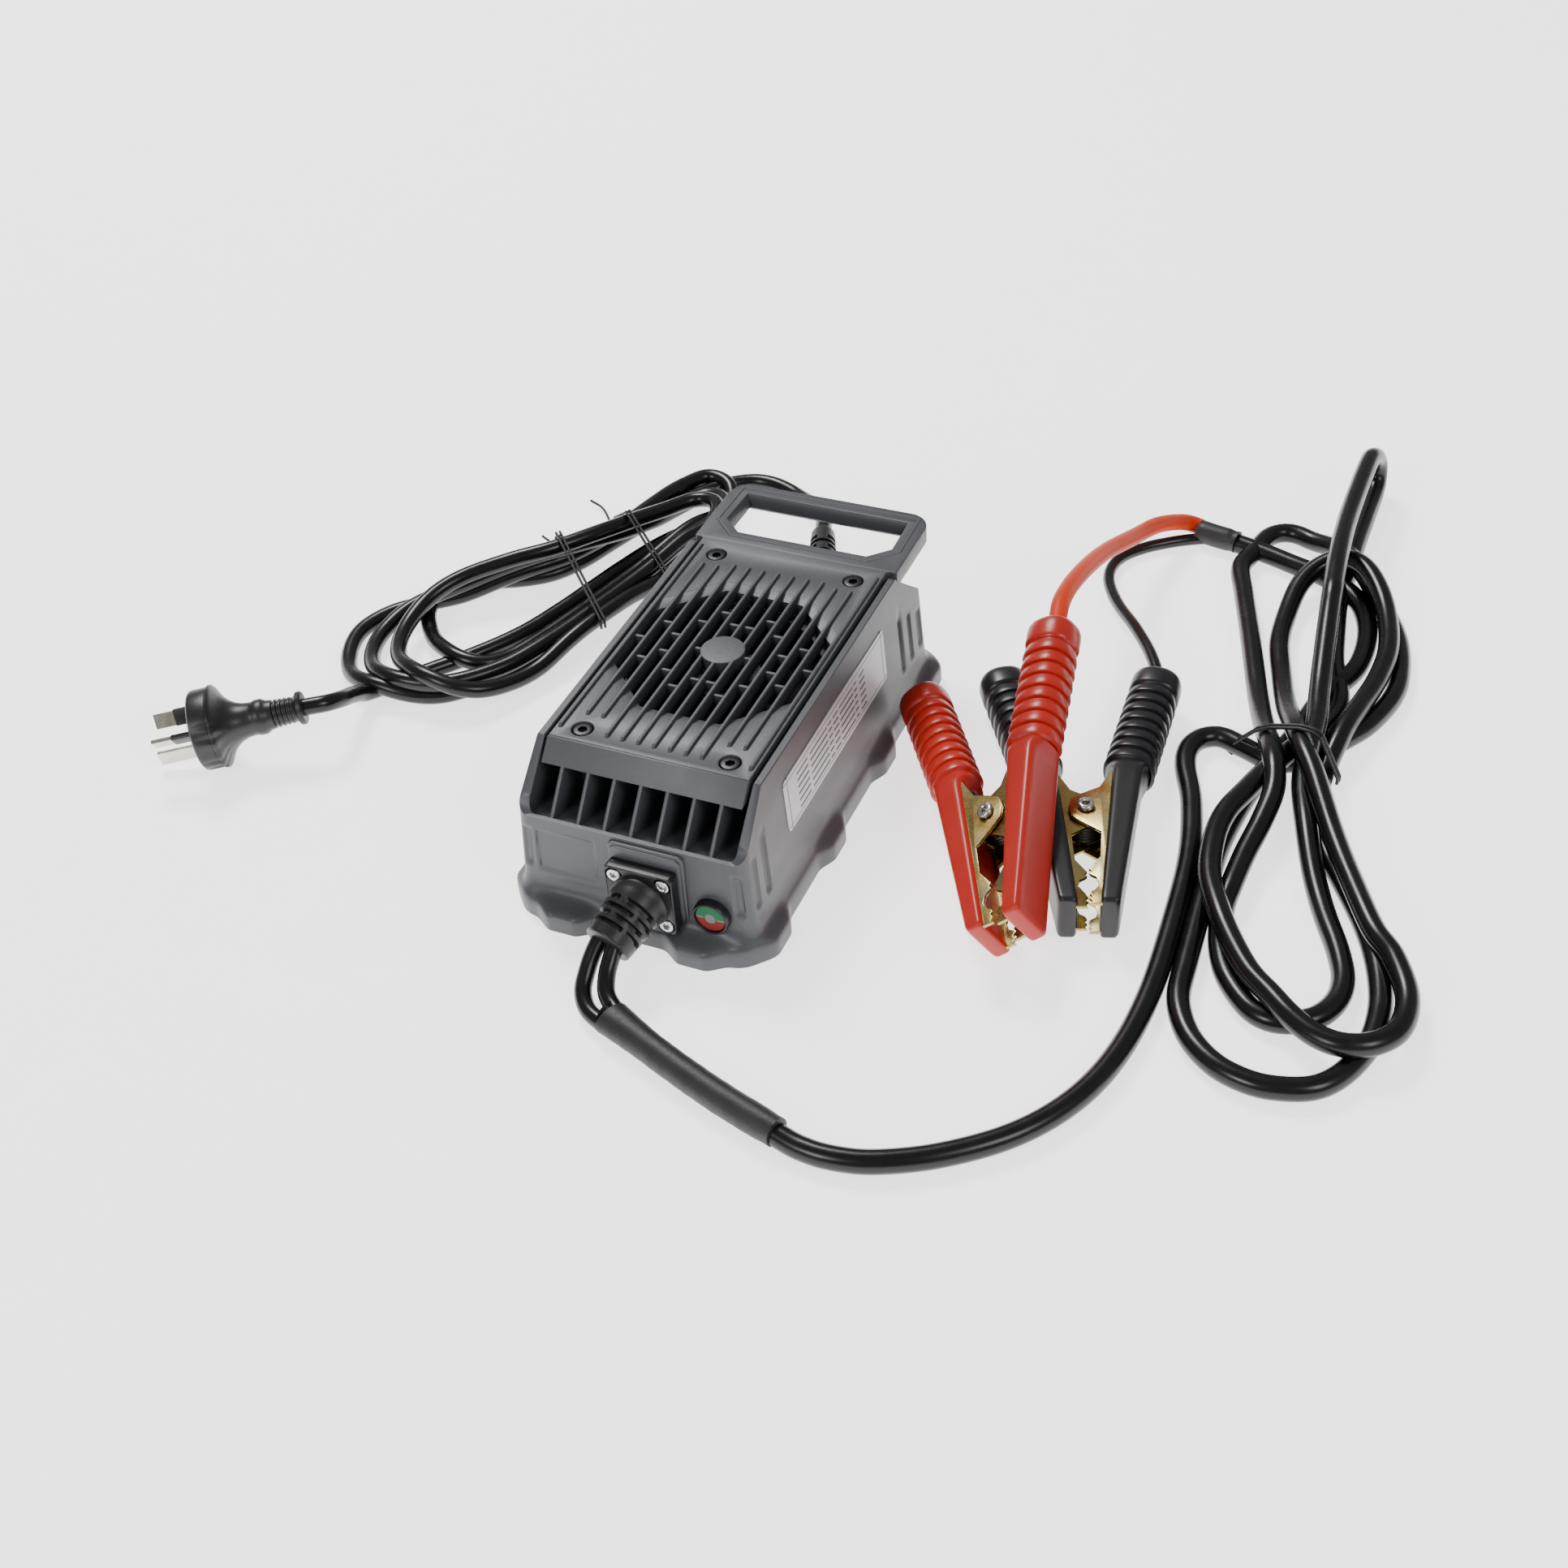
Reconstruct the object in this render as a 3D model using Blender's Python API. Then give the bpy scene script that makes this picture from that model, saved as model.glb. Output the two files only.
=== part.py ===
"""Car battery charger: fan-cooled case, mains lead with plug, output lead with two sprung clamps.

Lengths below are in millimetres and are written to the meshes in metres. The origin is on the flat
underside, below the fan's axis. X runs across the case, -Y is the output end, +Z is up.
"""
import math

import bmesh
import bpy
import numpy as np
from mathutils import Matrix, Vector

MM = 0.001
GAP = 0.3

# case
WALL_X = 47.0            # half width of the side walls at z = 40
WALL_DRAFT = 0.06        # sideways draft per millimetre of height
FRONT_Y = -88.5
BACK_Y = 94.0
END_DRAFT = 0.03
WALL_TOP = 45.3
PLATE_TOP = 67.6
PLATE_IN = 42.3          # inner face of the two side plates
SKIRT_X = 51.5
SKIRT_FRONT = -95.5
SKIRT_BACK = 104.0
SKIRT_TOP = 9.3
FIN_PITCH = 10.8
FIN_TOP = 60.3
FAN_ROOM = 43.5          # half length of the low stretch of floor under the fan
# cover
COVER_LOW = 60.6
COVER_TOP = 68.2
RIB_TOP = 69.4
RIB_PITCH = 6.45
RIB_WIDE = 1.35
HUB_R = 8.73
SCREW_X = 30.05
SCREW_Y = 60.15
HANDLE_X = 44.6
HANDLE_BACK = 113.5
# fan
FAN_SIZE = 80.0
FAN_LOW = 40.2
FAN_HIGH = 60.2
FAN_BORE = 38.0
# output gland
GLAND_X = 6.57
GLAND_Z = 24.4
GLAND_HALF = 13.7
GLAND_FACE = -96.4
GLAND_SCREW = 9.74
PAD_FACE = -91.0
# cords: diameters
OUTPUT_D = 8.8
CONDUCTOR_D = 6.6
SLEEVE_D = 11.6
RED_D = 7.5
BLACK_D = 5.4
MAINS_D = 7.4
# clamps
HALF_SPREAD = 32.1       # from the clamp's middle to a grip's axis at its end
GRIP_END = -88.0
GRIP_START = -28.0
GRIP_W = 17.5
JAW_COVER = 52.0
JAW_TIP = 53.5
GRIP_R = 10.5
COVER_HALF = 10.2
RIVET_HALF = 11.5

MATERIALS = {
    "case_grey": ((0.13, 0.13, 0.145), 0.42, 0.0),
    "cover_grey": ((0.15, 0.15, 0.165), 0.45, 0.0),
    "fan_black": ((0.02, 0.02, 0.022), 0.45, 0.0),
    "board_green": ((0.02, 0.12, 0.05), 0.5, 0.0),
    "core_brown": ((0.2, 0.13, 0.05), 0.5, 0.0),
    "aluminium": ((0.6, 0.6, 0.62), 0.35, 1.0),
    "screw_black": ((0.03, 0.03, 0.03), 0.35, 0.8),
    "screw_bright": ((0.6, 0.6, 0.6), 0.3, 1.0),
    "gland_black": ((0.02, 0.02, 0.022), 0.5, 0.0),
    "cord_black": ((0.015, 0.015, 0.017), 0.35, 0.0),
    "sleeve_black": ((0.025, 0.025, 0.027), 0.55, 0.0),
    "red": ((0.65, 0.03, 0.015), 0.4, 0.0),
    "lead_red": ((0.8, 0.09, 0.02), 0.4, 0.0),
    "grip_black": ((0.02, 0.02, 0.025), 0.45, 0.0),
    "zinc": ((0.6, 0.48, 0.22), 0.3, 1.0),
    "steel": ((0.65, 0.65, 0.67), 0.3, 1.0),
    "spring": ((0.05, 0.05, 0.05), 0.35, 0.8),
    "bezel": ((0.015, 0.015, 0.015), 0.4, 0.0),
    "lens": ((0.02, 0.25, 0.1), 0.25, 0.0),
    "label": ((0.55, 0.55, 0.57), 0.5, 0.0),
    "pin": ((0.7, 0.68, 0.6), 0.25, 1.0),
}


# ---------------------------------------------------------------- helpers
def clear_scene():
    for item in list(bpy.data.objects):
        bpy.data.objects.remove(item, do_unlink=True)


def material(name):
    found = bpy.data.materials.get(name)
    if found:
        return found
    colour, roughness, metallic = MATERIALS[name]
    made = bpy.data.materials.new(name)
    made.use_nodes = True
    shader = made.node_tree.nodes["Principled BSDF"]
    shader.inputs["Base Color"].default_value = (*colour, 1.0)
    shader.inputs["Roughness"].default_value = roughness
    shader.inputs["Metallic"].default_value = metallic
    return made


def finish(name, bm, slot=None):
    """Turn a bmesh in millimetres into a named object in metres, faces out."""
    bmesh.ops.remove_doubles(bm, verts=bm.verts, dist=0.001)
    bmesh.ops.recalc_face_normals(bm, faces=bm.faces)
    bmesh.ops.scale(bm, vec=(MM, MM, MM), verts=bm.verts)
    mesh = bpy.data.meshes.new(name)
    bm.to_mesh(mesh)
    bm.free()
    mesh.shade_smooth()
    mesh.set_sharp_from_angle(angle=math.radians(35))
    made = bpy.data.objects.new(name, mesh)
    bpy.context.scene.collection.objects.link(made)
    if slot:
        mesh.materials.append(material(slot))
    else:
        made.hide_render = True
        made.display_type = "WIRE"
    return made


def loft(name, rings, slot=None):
    """Join rings of equal point count, with a flat cap at each end."""
    bm = bmesh.new()
    rows = [[bm.verts.new(tuple(point)) for point in ring] for ring in rings]
    count = len(rows[0])
    for low, high in zip(rows, rows[1:]):
        for i in range(count):
            j = (i + 1) % count
            bm.faces.new((low[i], low[j], high[j], high[i]))
    bm.faces.new(list(reversed(rows[0])))
    bm.faces.new(rows[-1])
    return finish(name, bm, slot)


def prism(name, outline, axis, low, high, slot=None):
    """Extrude an outline along X, Y or Z. The outline's two numbers are the other two axes in order."""
    def lift(pair, along):
        place = list(pair)
        place.insert(axis, along)
        return place
    return loft(name, [[lift(p, low) for p in outline], [lift(p, high) for p in outline]], slot)


def box(name, low, high, slot=None):
    outline = [(low[0], low[1]), (high[0], low[1]), (high[0], high[1]), (low[0], high[1])]
    return prism(name, outline, 2, low[2], high[2], slot)


def turned(name, profile, sides, place, direction, slot=None, bore=False):
    """Turn (distance along, radius) points about an axis; bore closes the profile on itself."""
    turn = Vector(direction).to_track_quat("Z", "Y").to_matrix()
    origin = Vector(place)
    bm = bmesh.new()
    rings = []
    for along, radius in profile:
        if radius < 1e-6:
            rings.append([bm.verts.new(origin + turn @ Vector((0, 0, along)))])
            continue
        angles = [2 * math.pi * k / sides for k in range(sides)]
        points = [Vector((radius * math.cos(a), radius * math.sin(a), along)) for a in angles]
        rings.append([bm.verts.new(origin + turn @ p) for p in points])
    pairs = list(zip(rings, rings[1:]))
    if bore:
        pairs.append((rings[-1], rings[0]))
    for low, high in pairs:
        for i in range(sides):
            j = (i + 1) % sides
            face = [low[i % len(low)], low[j % len(low)], high[j % len(high)], high[i % len(high)]]
            corners = list(dict.fromkeys(face))
            if len(corners) > 2:
                bm.faces.new(corners)
    return finish(name, bm, slot)


def rod(name, radius, sides, place, direction, length, slot=None):
    return turned(name, [(0, 0), (0, radius), (length, radius), (length, 0)], sides, place, direction, slot)


def boolean(target, tool, operation):
    step = target.modifiers.new(operation.lower(), "BOOLEAN")
    step.operation = operation
    step.solver = "EXACT"
    step.object = tool


def cut(target, *tools):
    for tool in tools:
        boolean(target, tool, "DIFFERENCE")


def fuse(target, *tools):
    for tool in tools:
        boolean(target, tool, "UNION")


def rounded(half_x, front, back, radius, steps=4):
    """A rectangle with round corners, anticlockwise from the front right corner."""
    centres = [(half_x - radius, front + radius, -90), (half_x - radius, back - radius, 0),
               (radius - half_x, back - radius, 90), (radius - half_x, front + radius, 180)]
    outline = []
    for x, y, start in centres:
        for k in range(steps + 1):
            a = math.radians(start + 90 * k / steps)
            outline.append((x + radius * math.cos(a), y + radius * math.sin(a)))
    return outline


def smooth(points, closed=False, pieces=12):
    """A Catmull-Rom curve through the points, sampled finely."""
    points = np.array(points, float)
    if closed:
        padded = np.vstack([points[-1], points, points[0], points[1]])
    else:
        padded = np.vstack([2 * points[0] - points[1], points, 2 * points[-1] - points[-2]])
    curve = []
    for a, b, c, d in zip(padded, padded[1:], padded[2:], padded[3:]):
        for t in np.linspace(0, 1, pieces, endpoint=False):
            curve.append(0.5 * (2 * b + (c - a) * t + (2 * a - 5 * b + 4 * c - d) * t ** 2
                                + (3 * b - a - 3 * c + d) * t ** 3))
    if not closed:
        curve.append(points[-1])
    return np.array(curve)


def spaced(curve, step):
    """The same curve read at even distances of about one step."""
    lengths = np.r_[0, np.cumsum(np.linalg.norm(np.diff(curve, axis=0), axis=1))]
    count = max(2, int(round(lengths[-1] / step)) + 1)
    at = np.linspace(0, lengths[-1], count)
    return np.stack([np.interp(at, lengths, curve[:, k]) for k in range(3)], axis=1)


def cord(name, route, diameter, slot):
    """A round cord along a smooth route, as a bevelled curve with filled ends."""
    data = bpy.data.curves.new(name, "CURVE")
    data.dimensions = "3D"
    data.bevel_depth = diameter / 2 * MM
    data.bevel_resolution = 2
    data.use_fill_caps = True
    points = spaced(smooth(route), 2.2 * diameter) * MM
    spline = data.splines.new("POLY")
    spline.points.add(len(points) - 1)
    for target, point in zip(spline.points, points):
        target.co = (*point, 1.0)
    data.materials.append(material(slot))
    made = bpy.data.objects.new(name, data)
    bpy.context.scene.collection.objects.link(made)
    return made


def hank(name, outline, low, high, slot):
    """The outer shape of a tied bundle: a smooth closed outline with eased edges."""
    curve = smooth([(x, y, 0) for x, y in outline], closed=True, pieces=2)[:, :2]
    middle = curve.mean(axis=0)
    ease = 2.5
    away = curve - middle
    inner = curve - ease * away / np.linalg.norm(away, axis=1)[:, None]
    rings = []
    for z, ring in ((low, inner), (low + ease, curve), (high - ease, curve), (high, inner)):
        rings.append([(x, y, z) for x, y in ring])
    return loft(name, rings, slot)


def tie(name, start, end, top):
    """A thin tie over a hank, from floor to floor, just outside its outline."""
    start, end = np.array(start), np.array(end)
    along = (end - start) / np.linalg.norm(end - start)
    crown = top + 1.3
    route = []
    for foot, inward in ((start, along), (end, -along)):
        leg = [(*foot, 0.9), (*foot, 0.5 * top), (*foot, top - 1.5), (*(foot + 1.2 * inward), top + 0.7),
               (*(foot + 4 * inward), crown)]
        route += leg if inward is along else leg[::-1]
    return cord(name, route, 1.6, "sleeve_black")


# ---------------------------------------------------------------- case
def wall_x(z):
    return WALL_X + (40 - z) * WALL_DRAFT


def case_ring(z, blend):
    """Outline at height z; blend 0 is the skirt's edge and 1 is the wall."""
    drop = (WALL_TOP - z) * END_DRAFT
    half = SKIRT_X + (wall_x(z) - SKIRT_X) * blend
    front = SKIRT_FRONT + (FRONT_Y - drop - SKIRT_FRONT) * blend
    back = SKIRT_BACK + (BACK_Y + drop - SKIRT_BACK) * blend
    return [(x, y, z) for x, y in rounded(half, front, back, 12 - 7 * blend)]


def make_case():
    levels = ((0, 0), (5.5, 0.08), (8.2, 0.3), (SKIRT_TOP, 0.5), (12.5, 0.85), (16, 1), (WALL_TOP, 1))
    shell = loft("case_shell", [case_ring(z, b) for z, b in levels], "case_grey")
    valley = [(-89, 50), (-89, 45.2), (-88, 45), (-FAN_ROOM, 35), (FAN_ROOM, 35), (95, 45), (95.5, 50)]
    cut(shell, prism("cut_valley", valley, 0, -PLATE_IN, PLATE_IN))

    for side in (-1, 1):
        def plate(z):
            return side * (wall_x(z) - 0.05)
        profile = [(FRONT_Y + 0.3, 38), (FRONT_Y + 0.3, WALL_TOP), (-67.3, PLATE_TOP), (67, PLATE_TOP),
                   (77, 59), (93.4, 46), (93.7, 38)]
        inner = [(side * PLATE_IN, y, z) for y, z in profile]
        outer = [(plate(z), y, z) for y, z in profile]
        fuse(shell, loft("add_side_plate", [inner, outer]))

    fin = [(-87.5, 44.2), (-74, FIN_TOP), (-FAN_ROOM, FIN_TOP), (-FAN_ROOM, 39.6), (FAN_ROOM, 39.6),
           (FAN_ROOM, FIN_TOP), (74, FIN_TOP), (90, 44.2), (90, 33.5), (-87.5, 33.5)]
    for k in range(-3, 4):
        fuse(shell, prism("add_fin", fin, 0, k * FIN_PITCH - 0.8, k * FIN_PITCH + 0.8))
    for x in (-SCREW_X, SCREW_X):
        for y in (-SCREW_Y, SCREW_Y):
            fuse(shell, rod("add_post", 3.9, 12, (x, y, 33.5), (0, 0, 1), FIN_TOP - 33.5))

    lobe = rounded(6.5, -6.0, 6.0, 4, 2)
    for side in (-1, 1):
        for y in (-77, -22, 33, 88):
            centre = side * 48.6
            outline = [(centre + x, y + b) for x, b in lobe]
            fuse(shell, prism("add_lobe", outline, 2, 0, 8.6))
        outline = [(side * 27 + b, -94 - x) for x, b in lobe]
        fuse(shell, prism("add_front_lobe", outline, 2, 0, 8.6))
    fuse(shell, box("add_pad", (-7.2, PAD_FACE, 12.0), (21.5, -86, 43)))

    cut(shell, box("cut_cavity", (-FAN_ROOM, -84.5, -1), (FAN_ROOM, 90, 31.7)))
    cut(shell, prism("cut_base", rounded(46.3, -88, 93.5, 5), 2, -1, 2.6))
    for x in (-39, 39):
        for y in (-80, 85.5):
            fuse(shell, box("add_boss", (x - 5, y - 5, 2.6), (x + 5, y + 5, 33)))
            cut(shell, rod("cut_boss", 1.6, 10, (x, y, -2), (0, 0, 1), 16))
    cut(shell, rod("cut_air", 36.5, 36, (0, 0, 30), (0, 0, 1), 5.6))
    for x in (-SCREW_X, SCREW_X):
        for y in (-SCREW_Y, SCREW_Y):
            cut(shell, rod("cut_post", 1.9, 10, (x, y, 48), (0, 0, 1), 20))
    cut(shell, rod("cut_gland", 8, 20, (GLAND_X, -100, GLAND_Z), (0, 1, 0), 20))
    for dx in (-GLAND_SCREW, GLAND_SCREW):
        for dz in (-GLAND_SCREW, GLAND_SCREW):
            cut(shell, rod("cut_gland_screw", 1.7, 8, (GLAND_X + dx, -95, GLAND_Z + dz), (0, 1, 0), 14))
    cut(shell, rod("cut_mains", 7, 20, (0, 80, 27), (0, 1, 0), 20))
    cut(shell, rod("cut_status", 7.7, 24, (32.4, -93, 19.5), (0, 1, 0), 10))
    cut(shell, box("cut_deck", (-10, -101, 9.6), (23.5, PAD_FACE - 0.2, 20)))
    cut(shell, box("cut_panel", (-40, -94, 20), (-14, -88.2, 40)))

    plate = prism("base_plate", rounded(46, -87.7, 93.2, 5), 2, 0, 2.3, "case_grey")
    for x in (-34, 34):
        for y in (-66, 68):
            fuse(plate, rod("add_pillar", 3, 10, (x, y, 1), (0, 0, 1), 5))
    for x in (-39, 39):
        for y in (-80, 85.5):
            cut(plate, rod("cut_base_screw", 1.8, 10, (x, y, -1), (0, 0, 1), 5))
            cut(plate, rod("cut_base_head", 3.4, 12, (x, y, -1), (0, 0, 1), 2.2))
    number = 0
    for x in (-39, 39):
        for y in (-80, 85.5):
            number += 1
            profile = [(0.2, 0), (0.2, 3), (0.9, 3), (0.9, 1.3), (12, 1.3), (12, 0)]
            turned(f"base_screw_{number}", profile, 10, (x, y, 0), (0, 0, 1), "screw_bright")


def octagon(half, clip):
    """Regular octagon of half width half, clipped sideways at clip."""
    near = half * math.tan(math.radians(22.5))
    shoulder = half * math.sqrt(2) - clip
    quarter = [(near, -half), (clip, -shoulder), (clip, shoulder), (near, half)]
    return quarter + [(-x, y) for x, y in reversed(quarter)]


def handle_outline(half, front, shoulder):
    """The cover's plan: main plate, step to the wider handle, and round back corners."""
    radius = 9.5
    arc = []
    for k in range(7):
        a = math.radians(90 * k / 6)
        arc.append((HANDLE_X - radius + radius * math.cos(a), HANDLE_BACK - radius + radius * math.sin(a)))
    right = [(half, front), (half, shoulder), (HANDLE_X, shoulder)] + arc
    return right + [(-x, y) for x, y in reversed(right)]


def make_cover():
    low = [(x, y, COVER_LOW) for x, y in handle_outline(41.0, -74.8, 76.9)]
    high = [(x, y, COVER_TOP) for x, y in handle_outline(40.2, -67.7, 69.2)]
    cover = loft("top_cover", [low, high], "cover_grey")
    opening = [(-29, 79), (29, 79), (36, 86), (35.5, 105.5), (-35.5, 105.5), (-36, 86)]
    cut(cover, prism("cut_handle", opening, 2, 55, 75))
    cut(cover, prism("cut_grille", octagon(39.7, 38.0), 2, 55, 75))
    lower = [(x, y, COVER_TOP - 1.4) for x, y in octagon(39.7, 38.05)]
    upper = [(x, y, COVER_TOP + 0.6) for x, y in octagon(45.7, 38.05)]
    cut(cover, loft("cut_bevel", [lower, upper]))
    for k in range(-6, 7):
        x = k * RIB_PITCH
        front = -53 if abs(k) in (4, 5) else -63
        back = {4: 53.6, 5: 53.6, 6: 66.0}.get(abs(k), 56.0)
        rib = [(front, COVER_TOP - 1), (front + 3, RIB_TOP), (back - 3, RIB_TOP), (back, COVER_TOP - 1),
               (43, COVER_TOP - 1), (41, 63), (-41, 63), (-43, COVER_TOP - 1)]
        fuse(cover, prism("add_rib", rib, 0, x - RIB_WIDE / 2, x + RIB_WIDE / 2))
    bars = [(35.5, 0), (29, 12), (9.7, 24.8), (23.2, 5.6), (16.7, 16.6), (3.2, 18.4), (10, 0)]
    for x, y in bars:
        for sx, sy in {(sx, sy) for sx in (-1, 1) for sy in ((-1, 1) if y else (1,))}:
            half = RIB_PITCH / 2
            bar = box("add_bar", (sx * x - half, sy * y - 0.75, 63.6), (sx * x + half, sy * y + 0.75, 67.8))
            fuse(cover, bar)
    fuse(cover, rod("add_hub", HUB_R, 24, (0, 0, 63.4), (0, 0, 1), 4.8))
    for x in (-SCREW_X, SCREW_X):
        for y in (-SCREW_Y, SCREW_Y):
            cut(cover, rod("cut_head", 4.2, 16, (x, y, 65.2), (0, 0, 1), 6))
            cut(cover, rod("cut_shank", 2.3, 12, (x, y, 58), (0, 0, 1), 10))
    number = 0
    for x in (-SCREW_X, SCREW_X):
        for y in (-SCREW_Y, SCREW_Y):
            number += 1
            profile = [(52, 0), (52, 1.6), (65.5, 1.6), (65.5, 3.8), (67.4, 3.8), (68.1, 3.0),
                       (68.1, 1.5), (66.6, 1.5), (66.6, 0)]
            turned(f"cover_screw_{number}", profile, 14, (x, y, 0), (0, 0, 1), "screw_black")


# ---------------------------------------------------------------- fan and electronics
def make_fan():
    half = FAN_SIZE / 2
    frame = prism("fan_frame", rounded(half, -half, half, 4, 2), 2, FAN_LOW, FAN_HIGH, "fan_black")
    cut(frame, rod("cut_fan_bore", FAN_BORE, 36, (0, 0, FAN_LOW - 1), (0, 0, 1), 30))
    fuse(frame, rod("add_motor_seat", 14, 20, (0, 0, FAN_LOW), (0, 0, 1), 2.6))
    for k in range(3):
        arm = box("add_arm", (10, -2, FAN_LOW), (39, 2, FAN_LOW + 2.6))
        arm.rotation_euler.z = math.radians(30 + 120 * k)
        fuse(frame, arm)
    profile = [(43.1, 1.7), (43.1, 10.5), (52, 10.5), (52, 1.7)]
    turned("fan_stator", profile, 20, (0, 0, 0), (0, 0, 1), "core_brown", bore=True)

    cup = [(59, 0), (59, 14), (58, 15), (44, 15), (44, 12), (56, 12), (56, 1.3), (44.5, 1.3), (44.5, 0)]
    rotor = turned("fan_rotor", cup, 28, (0, 0, 0), (0, 0, 1), "fan_black")
    blades = 7
    for k in range(blades):
        rings = []
        for radius, low, high, sweep in ((14.2, 46, 57.5, 17), (25, 46, 57.5, 19), (36.6, 46.5, 57, 20)):
            start = math.radians(360 * k / blades + (radius - 14) * 0.5)
            end = start + math.radians(sweep)
            lift = 0.8
            ring = [(radius * math.cos(start), radius * math.sin(start), low),
                    (radius * math.cos(end), radius * math.sin(end), high - lift),
                    (radius * math.cos(end), radius * math.sin(end), high),
                    (radius * math.cos(start), radius * math.sin(start), low + lift)]
            rings.append(ring)
        fuse(rotor, loft("add_blade", rings))


def make_electronics():
    board = box("circuit_board", (-41, -73.5, 6.4), (41, 78, 8.0), "board_green")
    for x in (-34, 34):
        for y in (-66, 68):
            cut(board, rod("cut_board", 1.6, 8, (x, y, 5), (0, 0, 1), 5))
    core = box("transformer", (-22, 8, 8.3), (16, 44, 13), "core_brown")
    fuse(core, box("add_winding", (-16, 13, 12), (10, 39, 29)))
    turned("inductor", [(8.3, 5), (8.3, 12), (18, 12), (18, 5)], 16, (26, -34, 0), (0, 0, 1), "core_brown", True)
    for number, x in enumerate((-26, -7), start=1):
        rod(f"capacitor_{number}", 8, 14, (x, 60, 8.3), (0, 0, 1), 21.5, "fan_black")
    sink = box("heat_spreader", (-35, -60, 8.3), (-31, 0, 30.5), "aluminium")
    for k in range(5):
        fuse(sink, box("add_sink_fin", (-32, -58 + 13 * k, 12), (-20, -56 + 13 * k, 30.5)))


# ---------------------------------------------------------------- fittings on the case
def make_fittings():
    low_x, high_x = GLAND_X - GLAND_HALF, GLAND_X + GLAND_HALF
    low_z, high_z = GLAND_Z - GLAND_HALF, GLAND_Z + GLAND_HALF
    block = box("gland_block", (low_x, GLAND_FACE, low_z), (high_x, PAD_FACE - GAP, high_z), "gland_black")
    cut(block, rod("cut_nose", 8, 20, (GLAND_X, -99, GLAND_Z), (0, 1, 0), 12))
    number = 0
    for dx in (-GLAND_SCREW, GLAND_SCREW):
        for dz in (-GLAND_SCREW, GLAND_SCREW):
            number += 1
            place = (GLAND_X + dx, 0, GLAND_Z + dz)
            seat = [(-98, 0), (-98, 3.2), (-94.6, 3.2), (-94.6, 1.7), (-88, 1.7), (-88, 0)]
            cut(block, turned("cut_screw", seat, 12, place, (0, 1, 0)))
            profile = [(-96.6, 0), (-96.6, 2.9), (-94.9, 2.9), (-94.9, 1.4), (-86, 1.4), (-86, 0)]
            turned(f"gland_screw_{number}", profile, 12, place, (0, 1, 0), "screw_bright")

    lean = Vector((-0.243, -0.910, -0.336))
    face = Vector((GLAND_X, GLAND_FACE - GAP, GLAND_Z))
    straight = Vector((0, -1, 0))
    stations = [(Vector((GLAND_X, -82, GLAND_Z)), straight, 7.0), (face, straight, 7.6),
                (face, straight, 11.4), (face + straight * 1.6, straight, 11.4)]
    for along, radius in ((7.2, 10.6), (11, 10.3), (16, 9.8), (20.5, 9.4)):
        stations.append((face + lean * along, lean, radius))
    rings = []
    for place, direction, radius in stations:
        across = direction.cross(Vector((0, 0, 1))).normalized()
        up = across.cross(direction)
        ring = []
        for k in range(20):
            a = 2 * math.pi * k / 20
            ring.append(place + across * radius * math.cos(a) + up * radius * math.sin(a))
        rings.append(ring)
    loft("output_strain_relief", rings, "gland_black")

    profile = [(-92.6, 5.6), (-92.6, 6.9), (-91.7, 7.35), (-83, 7.35), (-83, 5.6)]
    turned("status_bezel", profile, 24, (32.4, 0, 19.5), (0, 1, 0), "bezel", bore=True)
    rod("status_lens", 5.3, 24, (32.4, -91.6, 19.5), (0, 1, 0), 8, "lens")
    label = []
    for z in (32, 55.7):
        near = wall_x(z) + 0.32
        label.append([(near, -51.6, z), (near, 49.5, z), (near + 0.4, 49.5, z), (near + 0.4, -51.6, z)])
    loft("rating_label", label, "label")

    aim = Vector((-0.37, 0.93, -0.05)).normalized()
    root = Vector((0, 95.2, 27))
    stations = [(Vector((0, 86, 27)), Vector((0, 1, 0)), 6.6), (root, Vector((0, 1, 0)), 6.6),
                (root, Vector((0, 1, 0)), 9.2), (root + Vector((0, 3, 0)), Vector((0, 1, 0)), 9.2)]
    for along, radius in ((6, 8.2), (20, 7.2), (40, 6.2), (56, 5.2)):
        stations.append((root + aim * along, aim, radius))
    rings = []
    for place, direction, radius in stations:
        across = direction.cross(Vector((0, 0, 1))).normalized()
        up = across.cross(direction)
        angles = [2 * math.pi * k / 16 for k in range(16)]
        rings.append([place + across * radius * math.cos(a) + up * radius * math.sin(a) for a in angles])
    loft("mains_strain_relief", rings, "gland_black")


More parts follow.
